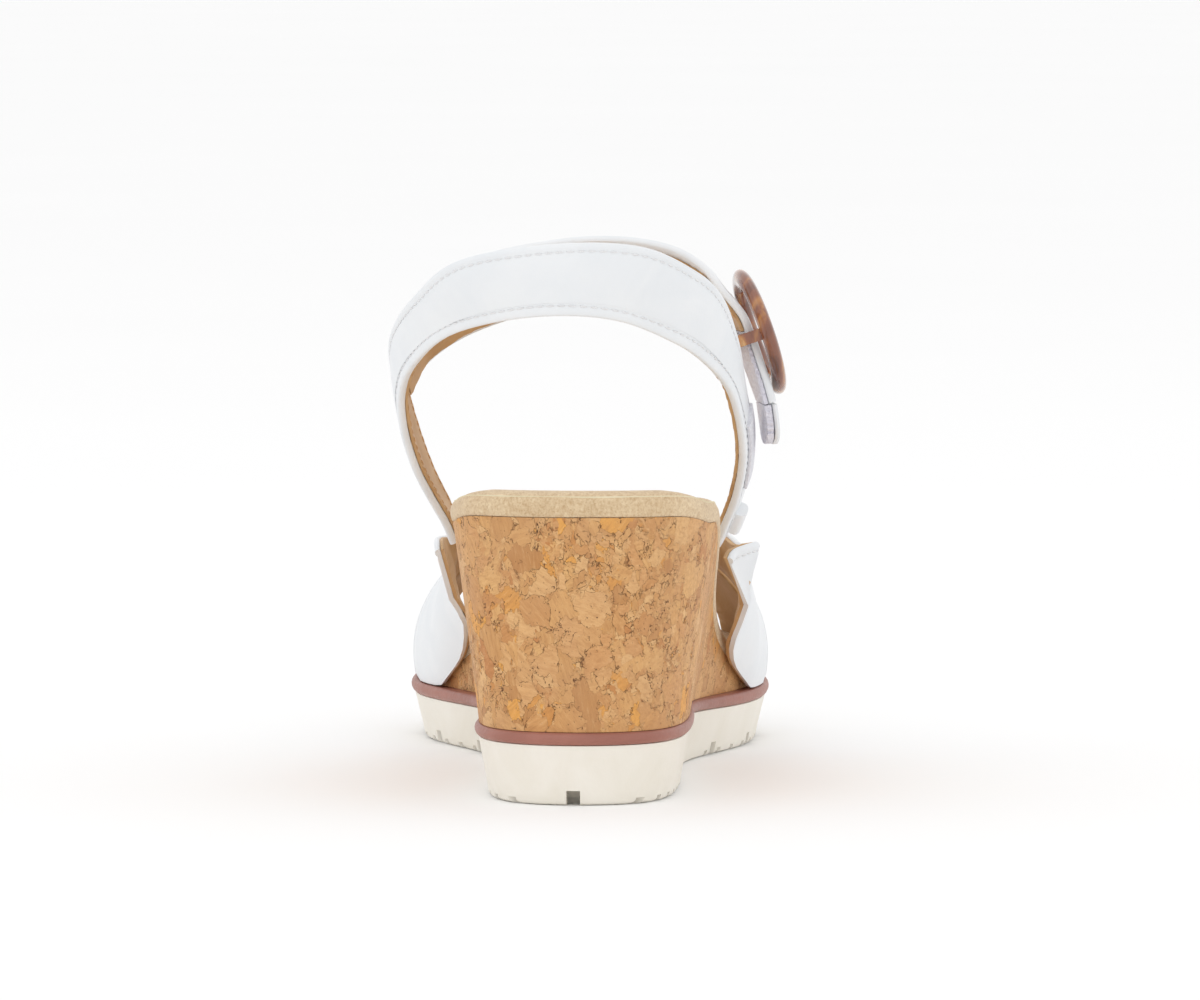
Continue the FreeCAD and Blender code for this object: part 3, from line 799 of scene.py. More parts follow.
        def pick(large: object, mid: object, small: object) -> bpy.types.NodeSocket:
            """Value of the chip that shows here."""
            first = t.add("ShaderNodeMix", {0: middling, 2: large, 3: mid}).outputs[0]
            return t.add("ShaderNodeMix", {0: fine, 2: first, 3: small}).outputs[0]
        seed = pick(*[node.outputs[0] for node in seeds])
        gap = pick(*gaps)
        chip = t.stops(seed, [(0.0, tone(190, 136, 84)), (0.16, tone(222, 172, 112)),
                              (0.34, tone(204, 150, 96)), (0.5, tone(229, 184, 128)),
                              (0.64, tone(212, 158, 104)), (0.78, tone(224, 176, 116)),
                              (0.9, tone(196, 134, 80)), (0.985, tone(232, 168, 84))])
        spin = t.add("ShaderNodeVectorRotate", {"Vector": base, "Axis": (0.1, 1.0, 0.15),
                                                "Angle": t.math("MULTIPLY", seed, 2.2)}).outputs[0]
        fibre = t.noise(t.moved(spin, (1.7, 1.2, 0.3)), 0.85, 5.0, 0.7).outputs[0]
        colour = t.mix(t.range(fibre, 0.46, 0.72, 0.0, 0.55), chip, tone(168, 112, 66))
        colour = t.mix(t.range(fibre, 0.26, 0.44, 0.4, 0.0), colour, tone(240, 200, 148))
        cloud = t.noise(base, 0.07, 3.0).outputs[0]
        colour = t.mix(t.range(cloud, 0.4, 0.66, 0.0, 0.34), colour, tone(196, 150, 108))
        width = t.range(t.noise(base, 0.45, 3.0, 0.7).outputs[0], 0.42, 0.72, 0.002, 0.032)
        seam = t.math("SUBTRACT", 1.0, t.math("DIVIDE", gap, width), clamp=True)
        seam = t.math("MULTIPLY", seam, t.range(t.noise(base, 0.3, 3.0).outputs[0], 0.4, 0.56))
        colour = t.mix(t.math("MULTIPLY", seam, 0.85), colour, tone(120, 76, 46))
        bark = t.noise(t.moved(warped, (1.2, 1.0, 0.7)), 1.05, 3.0, 0.7).outputs[0]
        patch = t.range(t.noise(base, 0.14, 4.0, 0.8).outputs[0], 0.54, 0.7)
        bark = t.range(t.math("ADD", bark, t.math("MULTIPLY", patch, 0.13)), 0.665, 0.7)
        colour = t.mix(t.math("MULTIPLY", bark, 0.8), colour, tone(96, 60, 46))
        t.set(out.inputs[0], colour)
        deep = t.math("ADD", seam, bark)
        relief = t.math("ADD", t.math("MULTIPLY", fibre, 0.4), t.math("MULTIPLY", seed, 0.12))
        t.set(out.inputs[1], t.math("SUBTRACT", relief, deep))
        t.set(out.inputs[2], t.math("MINIMUM", deep, 1.0))
        return group


class Finish:
    """Base of every finish: a material with object coordinates and one Principled shader."""

    effects: Effects

    def __init__(self, name: str, metal: float = 0.0, sheen: float = 0.0, coat: float = 0.0,
                 coat_rough: float = 0.1, specular: float = 0.5) -> None:
        """Starts the material.

        Args:
            name: Name of the finish.
            metal: Metallic share.
            sheen: Sheen of raised fibres.
            coat: Clear coat weight.
            coat_rough: Roughness of the coat.
            specular: Specular level.
        """
        self.material = bpy.data.materials.new(name)
        self.material.use_nodes = True
        self.material.node_tree.nodes.clear()
        self.t = Tree(self.material.node_tree)
        self.shader = self.t.add("ShaderNodeBsdfPrincipled", {
            "Metallic": metal, "Sheen Weight": sheen, "Coat Weight": coat, "Coat Roughness": coat_rough,
            "Specular IOR Level": specular})
        result = self.t.add("ShaderNodeOutputMaterial")
        self.t.set(result.inputs[0], self.shader.outputs[0])
        self.where = self.t.add("ShaderNodeTexCoord").outputs["Object"]

    def effect(self, group: bpy.types.NodeTree, **inputs: object) -> dict:
        """Places a shared effect and returns its outputs."""
        node = self.t.add("ShaderNodeGroup", node_tree=group)
        for key, value in inputs.items():
            self.t.set(node.inputs[key], value)
        return node.outputs

    def clouds(self, scale: float, light: tuple, dark: tuple) -> dict:
        """Places the slow change between two tones and returns its outputs."""
        return self.effect(Finish.effects.mottle, Vector=self.where, Scale=scale, First=light, Second=dark)

    def show(self, colour: object, rough: object, height: object, strength: float,
             distance: float) -> bpy.types.Material:
        """Joins colour, roughness and relief to the shader.

        Args:
            colour: Base colour.
            rough: Roughness.
            height: Relief.
            strength: Strength of the relief.
            distance: Its depth in metres.

        Returns:
            The material.
        """
        self.t.set(self.shader.inputs["Base Color"], colour)
        self.t.set(self.shader.inputs["Roughness"], rough)
        bump = self.t.add("ShaderNodeBump", {"Height": height, "Strength": strength, "Distance": distance})
        self.t.set(self.shader.inputs["Normal"], bump.outputs[0])
        return self.material


@dataclass(frozen=True)
class Hide:
    """Coated leather, cloudy between two tones, with a fine grain."""

    name: str
    light: tuple
    dark: tuple
    rough: float
    grain: float
    coat: float

    def mix(self) -> bpy.types.Material:
        """Mixes the material."""
        f = Finish(self.name, coat=self.coat, coat_rough=0.35)
        cloud = f.clouds(70.0, self.light, self.dark)
        grains = f.effect(Finish.effects.grain, Vector=f.where, Scale=1300.0)["Height"]
        roughness = f.t.range(cloud["Value"], 0.0, 1.0, self.rough - 0.06, self.rough + 0.07)
        return f.show(cloud["Color"], roughness, grains, self.grain, 0.0002)


@dataclass(frozen=True)
class Napped:
    """Suede, felt or looped tape: a slow mottle, plus painted light at the tufts' tips and painted shade
    between the tufts.
    """

    name: str
    light: tuple
    dark: tuple
    scale: float
    strength: float
    sheen: float

    def mix(self) -> bpy.types.Material:
        """Mixes the material."""
        f = Finish(self.name, sheen=self.sheen, specular=0.2)
        nap = f.effect(Finish.effects.nap, Vector=f.where, Scale=self.scale)
        cloud = f.clouds(55.0, self.light, self.dark)
        # Colour: the slow mottle, plus painted shade from the nap's height, darker between the tufts and
        # lighter at their tips.
        part = f.t.math("ADD", f.t.math("MULTIPLY", cloud["Value"], 0.25),
                        f.t.math("MULTIPLY", nap["Tufts"], 0.7))
        colour = f.t.mix(part, self.dark, self.light)
        return f.show(colour, f.t.range(nap["Tufts"], 0, 1, 0.85, 0.98), nap["Height"], self.strength, 0.0005)


@dataclass(frozen=True)
class Moulded:
    """Moulded rubber or foam, faintly clouded, with a fine matt texture."""

    name: str
    light: tuple
    dark: tuple
    rough: float
    scale: float
    strength: float

    def mix(self) -> bpy.types.Material:
        """Mixes the material."""
        f = Finish(self.name, specular=0.4)
        cloud = f.clouds(45.0, self.light, self.dark)
        texture = f.t.noise(f.where, self.scale, 4.0, 0.6).outputs[0]
        roughness = f.t.range(texture, 0.3, 0.7, self.rough - 0.08, self.rough + 0.08)
        return f.show(cloud["Color"], roughness, texture, self.strength, 0.0003)


@dataclass(frozen=True)
class Spun:
    """Twisted sewing thread."""

    name: str
    light: tuple
    dark: tuple

    def mix(self) -> bpy.types.Material:
        """Mixes the material."""
        f = Finish(self.name, sheen=0.2, specular=0.3)
        twist = f.t.add("ShaderNodeTexWave", {"Vector": f.t.moved(f.where, (1, 1, 1), (0.5, 0.6, 0.7)),
                                              "Scale": 900.0, "Distortion": 1.0}).outputs[1]
        colour = f.t.mix(twist, self.light, self.dark)
        return f.show(colour, f.t.range(twist, 0, 1, 0.6, 0.75), twist, 0.4, 0.0001)


class Cork:
    """Pressed cork sheet."""

    @staticmethod
    def mix() -> bpy.types.Material:
        """Mixes the material."""
        f = Finish("pressed cork", specular=0.3)
        chips = f.effect(Finish.effects.chips, Vector=f.where, Scale=1000.0)
        return f.show(chips["Color"], f.t.range(chips["Seam"], 0.0, 1.0, 0.62, 0.9), chips["Height"],
                      0.75, 0.0006)


class Tortoiseshell:
    """Polished resin with brown and amber clouds."""

    CLOUDS = ((0.3, tone(70, 36, 26)), (0.43, tone(112, 62, 42)), (0.54, tone(140, 82, 54)),
              (0.64, tone(186, 128, 68)), (0.72, tone(222, 180, 120)), (0.82, tone(120, 70, 48)))

    @classmethod
    def mix(cls) -> bpy.types.Material:
        """Mixes the material."""
        f = Finish("tortoiseshell resin", coat=1.0, coat_rough=0.06)
        along = f.t.moved(f.where, (1.0, 0.6, 0.45), (0.3, 0.1, 0.5))
        drift = f.t.noise(along, 110.0, 4.0, 0.55, 1.6).outputs[0]
        colour = f.t.stops(drift, cls.CLOUDS)
        streak = f.t.noise(f.t.moved(f.where, (1.0, 1.0, 0.25), (0.4, 0.0, 0.2)), 520.0, 3.0).outputs[0]
        colour = f.t.mix(f.t.range(streak, 0.55, 0.75, 0.0, 0.5), colour, tone(98, 56, 40))
        return f.show(colour, f.t.range(drift, 0.3, 0.8, 0.18, 0.3), streak, 0.05, 0.0002)


class Steel:
    """Rolled spring steel with fine scratches."""

    @staticmethod
    def mix() -> bpy.types.Material:
        """Mixes the material."""
        f = Finish("spring steel", metal=1.0)
        lines = f.t.noise(f.t.moved(f.where, (8.0, 0.4, 1.0)), 700.0, 3.0).outputs[0]
        colour = f.t.mix(lines, tone(150, 152, 156), tone(196, 198, 202))
        return f.show(colour, f.t.range(lines, 0.3, 0.7, 0.28, 0.45), lines, 0.1, 0.0001)


@dataclass
class Palette:
    """Every finish of the sandal."""

    leather: bpy.types.Material
    lining: bpy.types.Material
    cork: bpy.types.Material
    suede: bpy.types.Material
    welt: bpy.types.Material
    outsole: bpy.types.Material
    shell: bpy.types.Material
    loops: bpy.types.Material
    hooks: bpy.types.Material
    white_thread: bpy.types.Material
    tan_thread: bpy.types.Material
    steel: bpy.types.Material
    board: bpy.types.Material
    foam: bpy.types.Material
    core: bpy.types.Material

    @classmethod
    def mix(cls) -> "Palette":
        """Mixes every finish once."""
        Finish.effects = Effects()
        return cls(
            leather=Hide("white coated leather",
                         tone(236, 238, 240), tone(231, 234, 237), 0.5, 0.12, 0.15).mix(),
            lining=Hide("tan lining leather",
                        tone(206, 168, 122), tone(190, 150, 104), 0.6, 0.35, 0.0).mix(),
            cork=Cork().mix(),
            suede=Napped("sand suede", tone(242, 220, 184), tone(196, 164, 124), 2000.0, 0.7, 0.25).mix(),
            welt=Moulded("brown welt rubber",
                         tone(168, 112, 98), tone(150, 96, 82), 0.42, 900.0, 0.25).mix(),
            outsole=Moulded("cream outsole rubber",
                            tone(243, 238, 228), tone(236, 230, 217), 0.55, 700.0, 0.15).mix(),
            shell=Tortoiseshell().mix(),
            loops=Napped("loop tape", tone(240, 238, 246), tone(206, 204, 216), 1500.0, 0.8, 0.4).mix(),
            hooks=Napped("hook tape", tone(238, 238, 242), tone(212, 212, 220), 1200.0, 0.8, 0.2).mix(),
            white_thread=Spun("white thread", tone(240, 240, 240), tone(222, 222, 224)).mix(),
            tan_thread=Spun("tan thread", tone(214, 170, 116), tone(188, 138, 86)).mix(),
            steel=Steel().mix(),
            board=Moulded("fibre board", tone(150, 112, 80), tone(128, 92, 62), 0.85, 500.0, 0.4).mix(),
            foam=Moulded("latex foam", tone(236, 226, 196), tone(220, 206, 170), 0.9, 350.0, 0.6).mix(),
            core=Moulded("light core", tone(96, 84, 74), tone(80, 70, 62), 0.8, 300.0, 0.5).mix())


# ---- sole -----------------------------------------------------------------------------------------
@dataclass
class Sole:
    """Outsole, welt band, cork wedge and padded footbed; profiles are pairs of distance out and height."""

    palette: Palette
    walls: Walls = field(default_factory=Walls)
    inward: tuple = (0.06, 0.14, 0.26, 0.4, 0.55, 0.7, 0.83, 0.93, 0.985)
    toe_of_wall: tuple = ((-1.0, 0.12), (-0.35, 0.45), (-0.06, 1.0))
    wall_shares: tuple = (0.2, 0.4, 0.6, 0.8, 0.95)
    welt_profile: tuple = ((-0.5, 0.06), (0.0, 0.14), (0.42, 0.5), (0.72, 1.1), (0.8, 1.7), (0.66, 2.3),
                           (0.28, 2.8), (-0.25, 3.08), (-0.9, 3.18))
    welt_inner: float = -6.0
    shoulder: tuple = ((0.1, 5.95), (0.3, 5.3), (0.36, 4.4), (0.22, 3.4), (-0.12, 2.45), (-0.75, 1.55),
                       (-1.6, 0.9), (-2.8, 0.45), (-4.4, 0.15), (-6.5, 0.0))
    dish: float = 0.6
    heel_grooves: tuple = tuple(14 + 7 * i for i in range(8))
    ball_grooves: tuple = tuple(134 + 9 * i for i in range(11))
    side_notches: tuple = (138.5, 165.5, 192.5)
    groove: tuple = (2.2, 1.6)
    notch: tuple = (3.2, 3.4)

    def __post_init__(self) -> None:
        """Sets the plan of the sole's rim."""
        self.low = closed_spline(LAST.inset(False, lambda s: 0.0), AROUND)

    def build(self) -> None:
        """Builds every piece of the sole."""
        self.outsole()
        self.welt()
        self.footbed()
        finishes = {"cork_wrap": self.palette.cork, "wedge_core": self.palette.core,
                    "steel_shank": self.palette.steel, "shank_rivets": self.palette.steel,
                    "insole_board": self.palette.board, "footbed_foam": self.palette.foam,
                    "heel_cushion": self.palette.foam}
        for node, material in finishes.items():
            paint_node(node, material)

    def _ring(self, out: float, height: Callable[[float], float]) -> np.ndarray:
        """Ring round the low plan, moved out, at a height by station."""
        flat = outward(self.low, out)
        heights = [height(s) for s in flat[:, 1]]
        return np.column_stack([flat[:, 0], flat[:, 1] - LAST.half_length, heights])

    def _inner(self, ring: np.ndarray, height: Callable[[float], float],
               dish: float = 0.0) -> list[np.ndarray]:
        """Rings that run from a rim inwards to the sole's spine.

        Args:
            ring: Outermost ring.
            height: Height by station.
            dish: How far the middle is lowered.

        Returns:
            Rings, the last one almost closed.
        """
        y = ring[:, 1]
        low, high = y.min() + 30.0, y.max() - 36.0
        spine_y = np.clip(y, low, high)
        flat = np.column_stack([ring[:, 0], y])
        middle = np.array([0.5 * (Walls._cross(flat, v, Side.MEDIAL) + Walls._cross(flat, v, Side.LATERAL))
                           for v in spine_y])
        spine = np.column_stack([middle, spine_y])
        rings = []
        for share in self.inward:
            place = flat + (spine - flat) * share
            drop = dish * math.sin(min(share * 1.4, 1.0) * math.pi / 2)
            z = [height(v + LAST.half_length) - drop for v in place[:, 1]]
            rings.append(np.column_stack([place, z]))
        return rings

    def _stack(self, name: str, rings: Sequence[np.ndarray]) -> bpy.types.Object:
        """Closed piece through a stack of rings."""
        places = np.array(rings)
        return net(name, np.concatenate([places, places[:, :1]], axis=1), closed_columns=True)

    def outsole(self) -> None:
        """Cup of the outsole with rounded rims, its tread, side notches and heel notch."""
        def wall(z: float) -> float:
            """Distance of the wall from the plan at a height."""
            return -(4.2 - 7.0 * (z + 7.5) / 37.5)

        ground = LAST.toe_rise
        edge = self._ring(wall(0) - 1.9, lambda s: ground(s))
        rings = self._inner(edge, lambda s: ground(s))[::-1] + [edge]
        for out, z in self.toe_of_wall:
            rings.append(self._ring(wall(z) + out, lambda s, z=z: ground(s) + z))
        for share in self.wall_shares:
            rings.append(self._ring(wall(14 * share), lambda s, k=share: ground(s)
                                    + 1.0 + (LAST.outsole_top(s) - ground(s) - 1.4) * k))
        rings.append(self._ring(wall(14.7) - 0.12, lambda s: LAST.outsole_top(s) - 0.12))
        rim = self._ring(wall(15) - 0.5, LAST.outsole_top)
        rings += [rim] + self._inner(rim, LAST.outsole_top)
        piece = self._stack("outsole_cup", rings)
        self._tread(piece)
        smooth(piece, 30.0)
        dress(piece, self.palette.outsole, "root", ["outsole"])

    def _tread(self, piece: bpy.types.Object) -> None:
        """Cuts the tread grooves, the side notches and the heel notch."""
        bars = [(s, *self.groove) for s in self.heel_grooves + self.ball_grooves]
        bars += [(s, *self.notch) for s in self.side_notches]
        blocks = []
        for s, width, depth in bars:
            blocks.append(((0.0, s - LAST.half_length, LAST.toe_rise(s)), (190.0, width, 2 * depth)))
        blocks.append(((0.0, 7.0 - LAST.half_length, 0.0), (3.4, 14.0, 7.4)))
        deselect()
        made = []
        for centre, size in blocks:
            bpy.ops.mesh.primitive_cube_add(size=1.0, location=[c * MM for c in centre],
                                            scale=[c * MM for c in size])
            made.append(bpy.context.object)
            bpy.ops.object.mode_set(mode="EDIT")
            bpy.ops.mesh.select_all(action="SELECT")
            bpy.ops.object.mode_set(mode="OBJECT")
        deselect()
        for block in made:
            block.select_set(True)
        cutter = made[0]
        bpy.context.view_layer.objects.active = cutter
        bpy.ops.object.join()
        applied(piece, "BOOLEAN", operation="DIFFERENCE", solver="EXACT", object=cutter, use_self=True)
        bpy.data.objects.remove(cutter)

    def welt(self) -> None:
        """Welt band: a soft bead round the sole, flat where it meets the wedge."""
        bottom, top = LAST.outsole_top, LAST.welt_top

        def seat(s: float) -> float:
            """Height of the band's underside."""
            return bottom(s) + 0.05
        rings = self._inner(self._ring(self.welt_inner, seat), seat)[::-1]
        rings.append(self._ring(self.welt_inner, seat))
        for out, rise in self.welt_profile:
            rings.append(self._ring(out, lambda s, r=rise: bottom(s) + r))
        rings.append(self._ring(self.welt_inner, top))
        rings += self._inner(self._ring(self.welt_inner, top), top)
        dress(self._stack("welt_bead", rings), self.palette.welt, "root", ["welt_band"])

    def footbed(self) -> None:
        """Suede cover drawn over the foam, with rounded shoulders and a dished seat."""
        top = LAST.footbed

        def under(s: float) -> float:
            """Height of the cover's lower edge."""
            return top(s) - LAST.cover
        rings = [self.walls.ring(lambda s: under(s) + 0.3, -0.9),
                 self.walls.ring(lambda s: under(s) + 0.02, -0.3)]
        for out, drop in self.shoulder:
            rings.append(self.walls.ring(lambda s, d=drop: top(s) - d, out))
        rings += self._inner(rings[-1], top, self.dish)
        inner = [self.walls.ring(lambda s: under(s) + 0.3, -1.2)]
        for out, drop in ((-1.7, 3.2), (-3.4, 1.9), (-6.5, 1.35)):
            inner.append(self.walls.ring(lambda s, d=drop: top(s) - d, out))
        lid = self._inner(inner[-1], lambda s: top(s) - 1.6)
        rings = lid[::-1] + inner[::-1] + rings
        piece = self._stack("footbed_cover", rings)
        dress(piece, self.palette.suede, "root", ["suede_footbed_cover"])


def paint_node(node: str, material: bpy.types.Material) -> None:
    """Gives a node of the frame its finish."""
    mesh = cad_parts[node].data
    mesh.materials.clear()
    mesh.materials.append(material)
    LOG.info("%s: kept, finished in %s", node, material.name)


# ---- upper over the forefoot ------------------------------------------------------------------------
class Arch:
    """Outer face of the upper: t runs over the foot from the inner side to the outer one."""

    REAR_EDGE = {Side.MEDIAL: ((105, 5), (112, 3.2), (125, -0.4), (133, -3.1), (146, -7.5), (155, -9.8),
                               (163, -14)),
                 Side.LATERAL: ((105, 3), (110, 2.2), (118, 0.5), (125, -1.7), (135, -7.2), (146, -9.5),
                                (155, -10.8), (163, -14))}
    FOOT_HEIGHT = ((105, 66), (140, 52), (163, 39.5), (170, 36.8), (185, 33.5), (212, 26), (235, 16))
    STAND_OFF = {Side.MEDIAL: ((105, 9.4), (112, 9), (125, 7.4), (133, 3.8), (146, 2.8), (250, 2.6)),
                 Side.LATERAL: ((105, 2.8), (112, 3.6), (118, 6.2), (125, 8.4), (130, 6.8), (136, 4.4),
                                (146, 3.2), (250, 2.8))}
    BULGE = {Side.MEDIAL: ((105, 1), (125, 4), (146, 6), (163, 3), (180, 1.2), (250, 0.6)),
             Side.LATERAL: ((105, 1), (118, 3), (135, 4), (150, 5), (163, 2.4), (180, 1.2), (250, 0.6))}
    SQUARENESS = 0.84
    FIRST, FINAL, PER_MM = 104.0, 236.0, 2

    def __init__(self, walls: Walls) -> None:
        """Tabulates the girths along the foot."""
        count = int((self.FINAL - self.FIRST) * self.PER_MM) + 1
        self.stations = np.linspace(self.FIRST, self.FINAL, count)
        self.top = [LAST.seat(s) + through(self.FOOT_HEIGHT, s) for s in self.stations]
        self.base = {side: [self._base(s, side) for s in self.stations] for side in Side}
        self.edge = {side: [walls.offset(s, z, side) + side.value * through(self.STAND_OFF[side], s)
                            for s, z in zip(self.stations, self.base[side])] for side in Side}
        self.bulge = {side: [through(self.BULGE[side], s) for s in self.stations] for side in Side}

    def _base(self, s: float, side: Side) -> float:
        """Height of the lower edge: on the welt, then clear of it towards the ankle."""
        floor = LAST.welt_top(s) + 0.25
        free = LAST.seat(s) + through(self.REAR_EDGE[side], s)
        return 0.5 * (floor + free + math.sqrt((floor - free) ** 2 + 1.0))

    def at(self, s: float, t: float) -> np.ndarray:
        """Point at a station and a share of the girth."""
        place = min(max((s - self.FIRST) * self.PER_MM, 0.0), len(self.stations) - 1.001)
        i, share = int(place), place - int(place)

        def read(table: list) -> float:
            """Value of a table at the station."""
            return table[i] + (table[i + 1] - table[i]) * share
        side = Side.MEDIAL if t < 0.5 else Side.LATERAL
        base, top = read(self.base[side]), read(self.top)
        medial, lateral = read(self.edge[Side.MEDIAL]), read(self.edge[Side.LATERAL])
        up = math.sin(math.pi * t) ** self.SQUARENESS if 0 < t < 1 else 0.0
        out = abs(math.cos(math.pi * t)) ** self.SQUARENESS
        bulge = read(self.bulge[side]) * 6.75 * up * (1.0 - up) ** 2
        x = 0.5 * (medial + lateral) + side.value * (0.5 * (lateral - medial) * out + bulge)
        return np.array([x, s - LAST.half_length, base + (top - base) * up])

    def patch(self, rear: Callable[[float], float], front: Callable[[float], float]) -> Surface:
        """Surface over the arch between two girth lines."""
        def point(u: float, v: float) -> np.ndarray:
            """Point at u over the foot and v forwards."""
            return self.at(rear(u) + (front(u) - rear(u)) * v, u)
        return point


@dataclass
class Vamp:
    """Vamp with its two wings, and the band over the toes; edges are pairs of station and bow."""

    palette: Palette
    walls: Walls
    throat_back: float = 108.0
    throat_depth: float = 60.0
    throat_power: float = 2.2
    vamp_front: tuple = (193.0, 5.0)
    toe_rear: tuple = (199.0, 4.0)
    toe_front: tuple = (222.0, 2.0)

    def __post_init__(self) -> None:
        """Sets both surfaces."""
        arch = Arch(self.walls)
        self.vamp = Strip(arch.patch(self.throat, self.bowed(*self.vamp_front)), columns=130)
        self.toe = Strip(arch.patch(self.bowed(*self.toe_rear), self.bowed(*self.toe_front)), columns=110)

    def throat(self, t: float) -> float:
        """Station of the vamp's rear edge."""
        return self.throat_back + self.throat_depth * (1 - abs(1 - 2 * t) ** self.throat_power)

    @staticmethod
    def bowed(station: float, bow: float) -> Callable[[float], float]:
        """Girth line bowed back over the foot."""
        return lambda t: station - bow * math.sin(math.pi * t)

    def build(self) -> None:
        """Builds the vamp and the toe band with their linings and seams."""
        section = Section(thick=1.2, rim=0.4, rear_seam=3.0, front_seam=2.2, crown=0.1, steps=12)
        for name, strip in (("vamp", self.vamp), ("toe_band", self.toe)):
            outer = strip.loft(name + "_leather", section.marks())
            dress(outer, self.palette.leather, "root", [name + "_outer"])
            lining = strip.loft(name + "_tan_lining", slab(-1.25, -2.15, 0.25, 0.35, 12))
            dress(lining, self.palette.lining, "root", [name + "_lining"])
            Seam(Edge.REAR, 3.0).sew(name + "_rear_seam", strip, self.palette.white_thread, "root")
            Seam(Edge.FRONT, 2.2).sew(name + "_front_seam", strip, self.palette.white_thread, "root")


def ribbon(rear: Sequence[np.ndarray], front: Sequence[np.ndarray], crown: float = 0.0) -> Surface:
    """Surface between two rails, bowed out across its width.

    Args:
        rear: Points of the rear rail.
        front: Points of the front rail.
        crown: Height of the bow.

    Returns:
        Surface function of u along and v across.
    """
    def flat(u: float, v: float) -> np.ndarray:
        """Point straight across between the rails."""
        a, b = catmull(rear, u), catmull(front, u)
        return a + (b - a) * v

    def point(u: float, v: float) -> np.ndarray:
        """Point with the bow added."""
        return flat(u, v) + normal_of(flat, u, v) * (crown * 4 * v * (1 - v))
    return point if crown else flat


@dataclass(frozen=True)
class AnkleRails:
    """Rails of the ankle strap: station, offset and height above the seat."""

    rear: tuple = (
        (108, -38.2, 5.5), (100, -39.5, 6.5), (91, -42.7, 9), (83, -45.8, 13), (75, -48, 19.5),
        (66, -47.8, 26), (50, -43.2, 30.5), (33, -33.5, 37.5), (20, -20, 42), (13, -3.6, 44), (16, 11, 42.5), (26, 23.4, 37),
        (38, 29.8, 32), (54, 35.4, 26), (66, 38, 20.5), (77, 38.6, 14.5), (90, 36.2, 9.5), (100, 32.5, 6),
        (107, 30, 4.5))
    front: tuple = (
        (118, -39, 15.5), (114, -41.8, 20.5), (109, -45.5, 26.5), (103, -48.2, 32.5), (95, -50, 37),
        (80, -51.2, 39), (62, -49.6, 41), (38, -42.2, 47.5), (20, -29, 57.5), (10, -3.6, 62), (13.5, 17, 61),
        (27, 29.6, 54.5), (40, 35, 48), (56, 37.7, 39.5), (74, 38.7, 32.5), (90, 39.4, 29), (102, 38.6, 24.5),
        (110, 35.6, 18), (115, 31.5, 13))


@dataclass
class AnkleStrap:
    """Strap round the back of the ankle, with its two legs; runs are shares of its length."""

    palette: Palette
    rails: AnkleRails = AnkleRails()
    crown: float = 0.6
    hook_run: tuple = (0.8, 0.885)
    hook_width: tuple = (0.2, 0.85)
    keeper_run: tuple = (0.93, 0.965)
    keeper_width: tuple = (0.3, 0.7)
    keeper_height: float = 2.6

    def __post_init__(self) -> None:
        """Sets the strap's surface."""
        rear = [LAST.foot(*p) for p in self.rails.rear]
        front = [LAST.foot(*p) for p in self.rails.front]
        surface = ribbon(rear, front, self.crown)
        self.strip = Strip(surface, columns=220, unevenness=0.12)

    def build(self) -> None:
        """Builds the strap, its lining, seams, hook patch and keeper."""
        section = Section(thick=1.85, rim=0.22, rear_seam=2.8, front_seam=2.1, steps=6)
        outer = self.strip.loft("ankle_strap_leather", section.marks())
        covered = ["ankle_strap_outer", "ankle_strap_padding"]
        dress(outer, self.palette.leather, "root", covered)
        lining = self.strip.loft("ankle_strap_tan_lining", slab(-1.88, -2.78, 0.75, 0.7, 6))
        dress(lining, self.palette.lining, "root", ["ankle_strap_lining"])
        white, tan = self.palette.white_thread, self.palette.tan_thread
        Seam(Edge.REAR, 2.8).sew("ankle_lower_seam", self.strip, white, "root")
        Seam(Edge.FRONT, 2.1).sew("ankle_upper_seam", self.strip, white, "root")
        Seam(Edge.REAR, 2.2, -2.82, width=0.5).sew("ankle_lining_lower_seam", self.strip, tan, "root")
        Seam(Edge.FRONT, 2.2, -2.82, width=0.5).sew("ankle_lining_upper_seam", self.strip, tan, "root")
        patch = self._patch(self.hook_run, self.hook_width, 40)
        hooks = patch.loft("hook_patch", slab(0.95, 0.05, 0.0, 0.0, 12))
        dress(hooks, self.palette.hooks, "root", ["quarter_hook_patch"])
        keeper = self._patch(self.keeper_run, self.keeper_width, 16)
        bump = keeper.loft("side_keeper_tab", domed(self.keeper_height, 0.05))
        dress(bump, self.palette.leather, "root", ["side_keeper"])

    def _patch(self, run: tuple[float, float], width: tuple[float, float], columns: int) -> Strip:
        """Smaller strip laid on part of the strap."""
        def point(u: float, v: float) -> np.ndarray:
            """Point of the strap inside the patch."""
            return self.strip.surface(run[0] + (run[1] - run[0]) * u,
                                      width[0] + (width[1] - width[0]) * v)
        return Strip(point, columns=columns, unevenness=0.0)


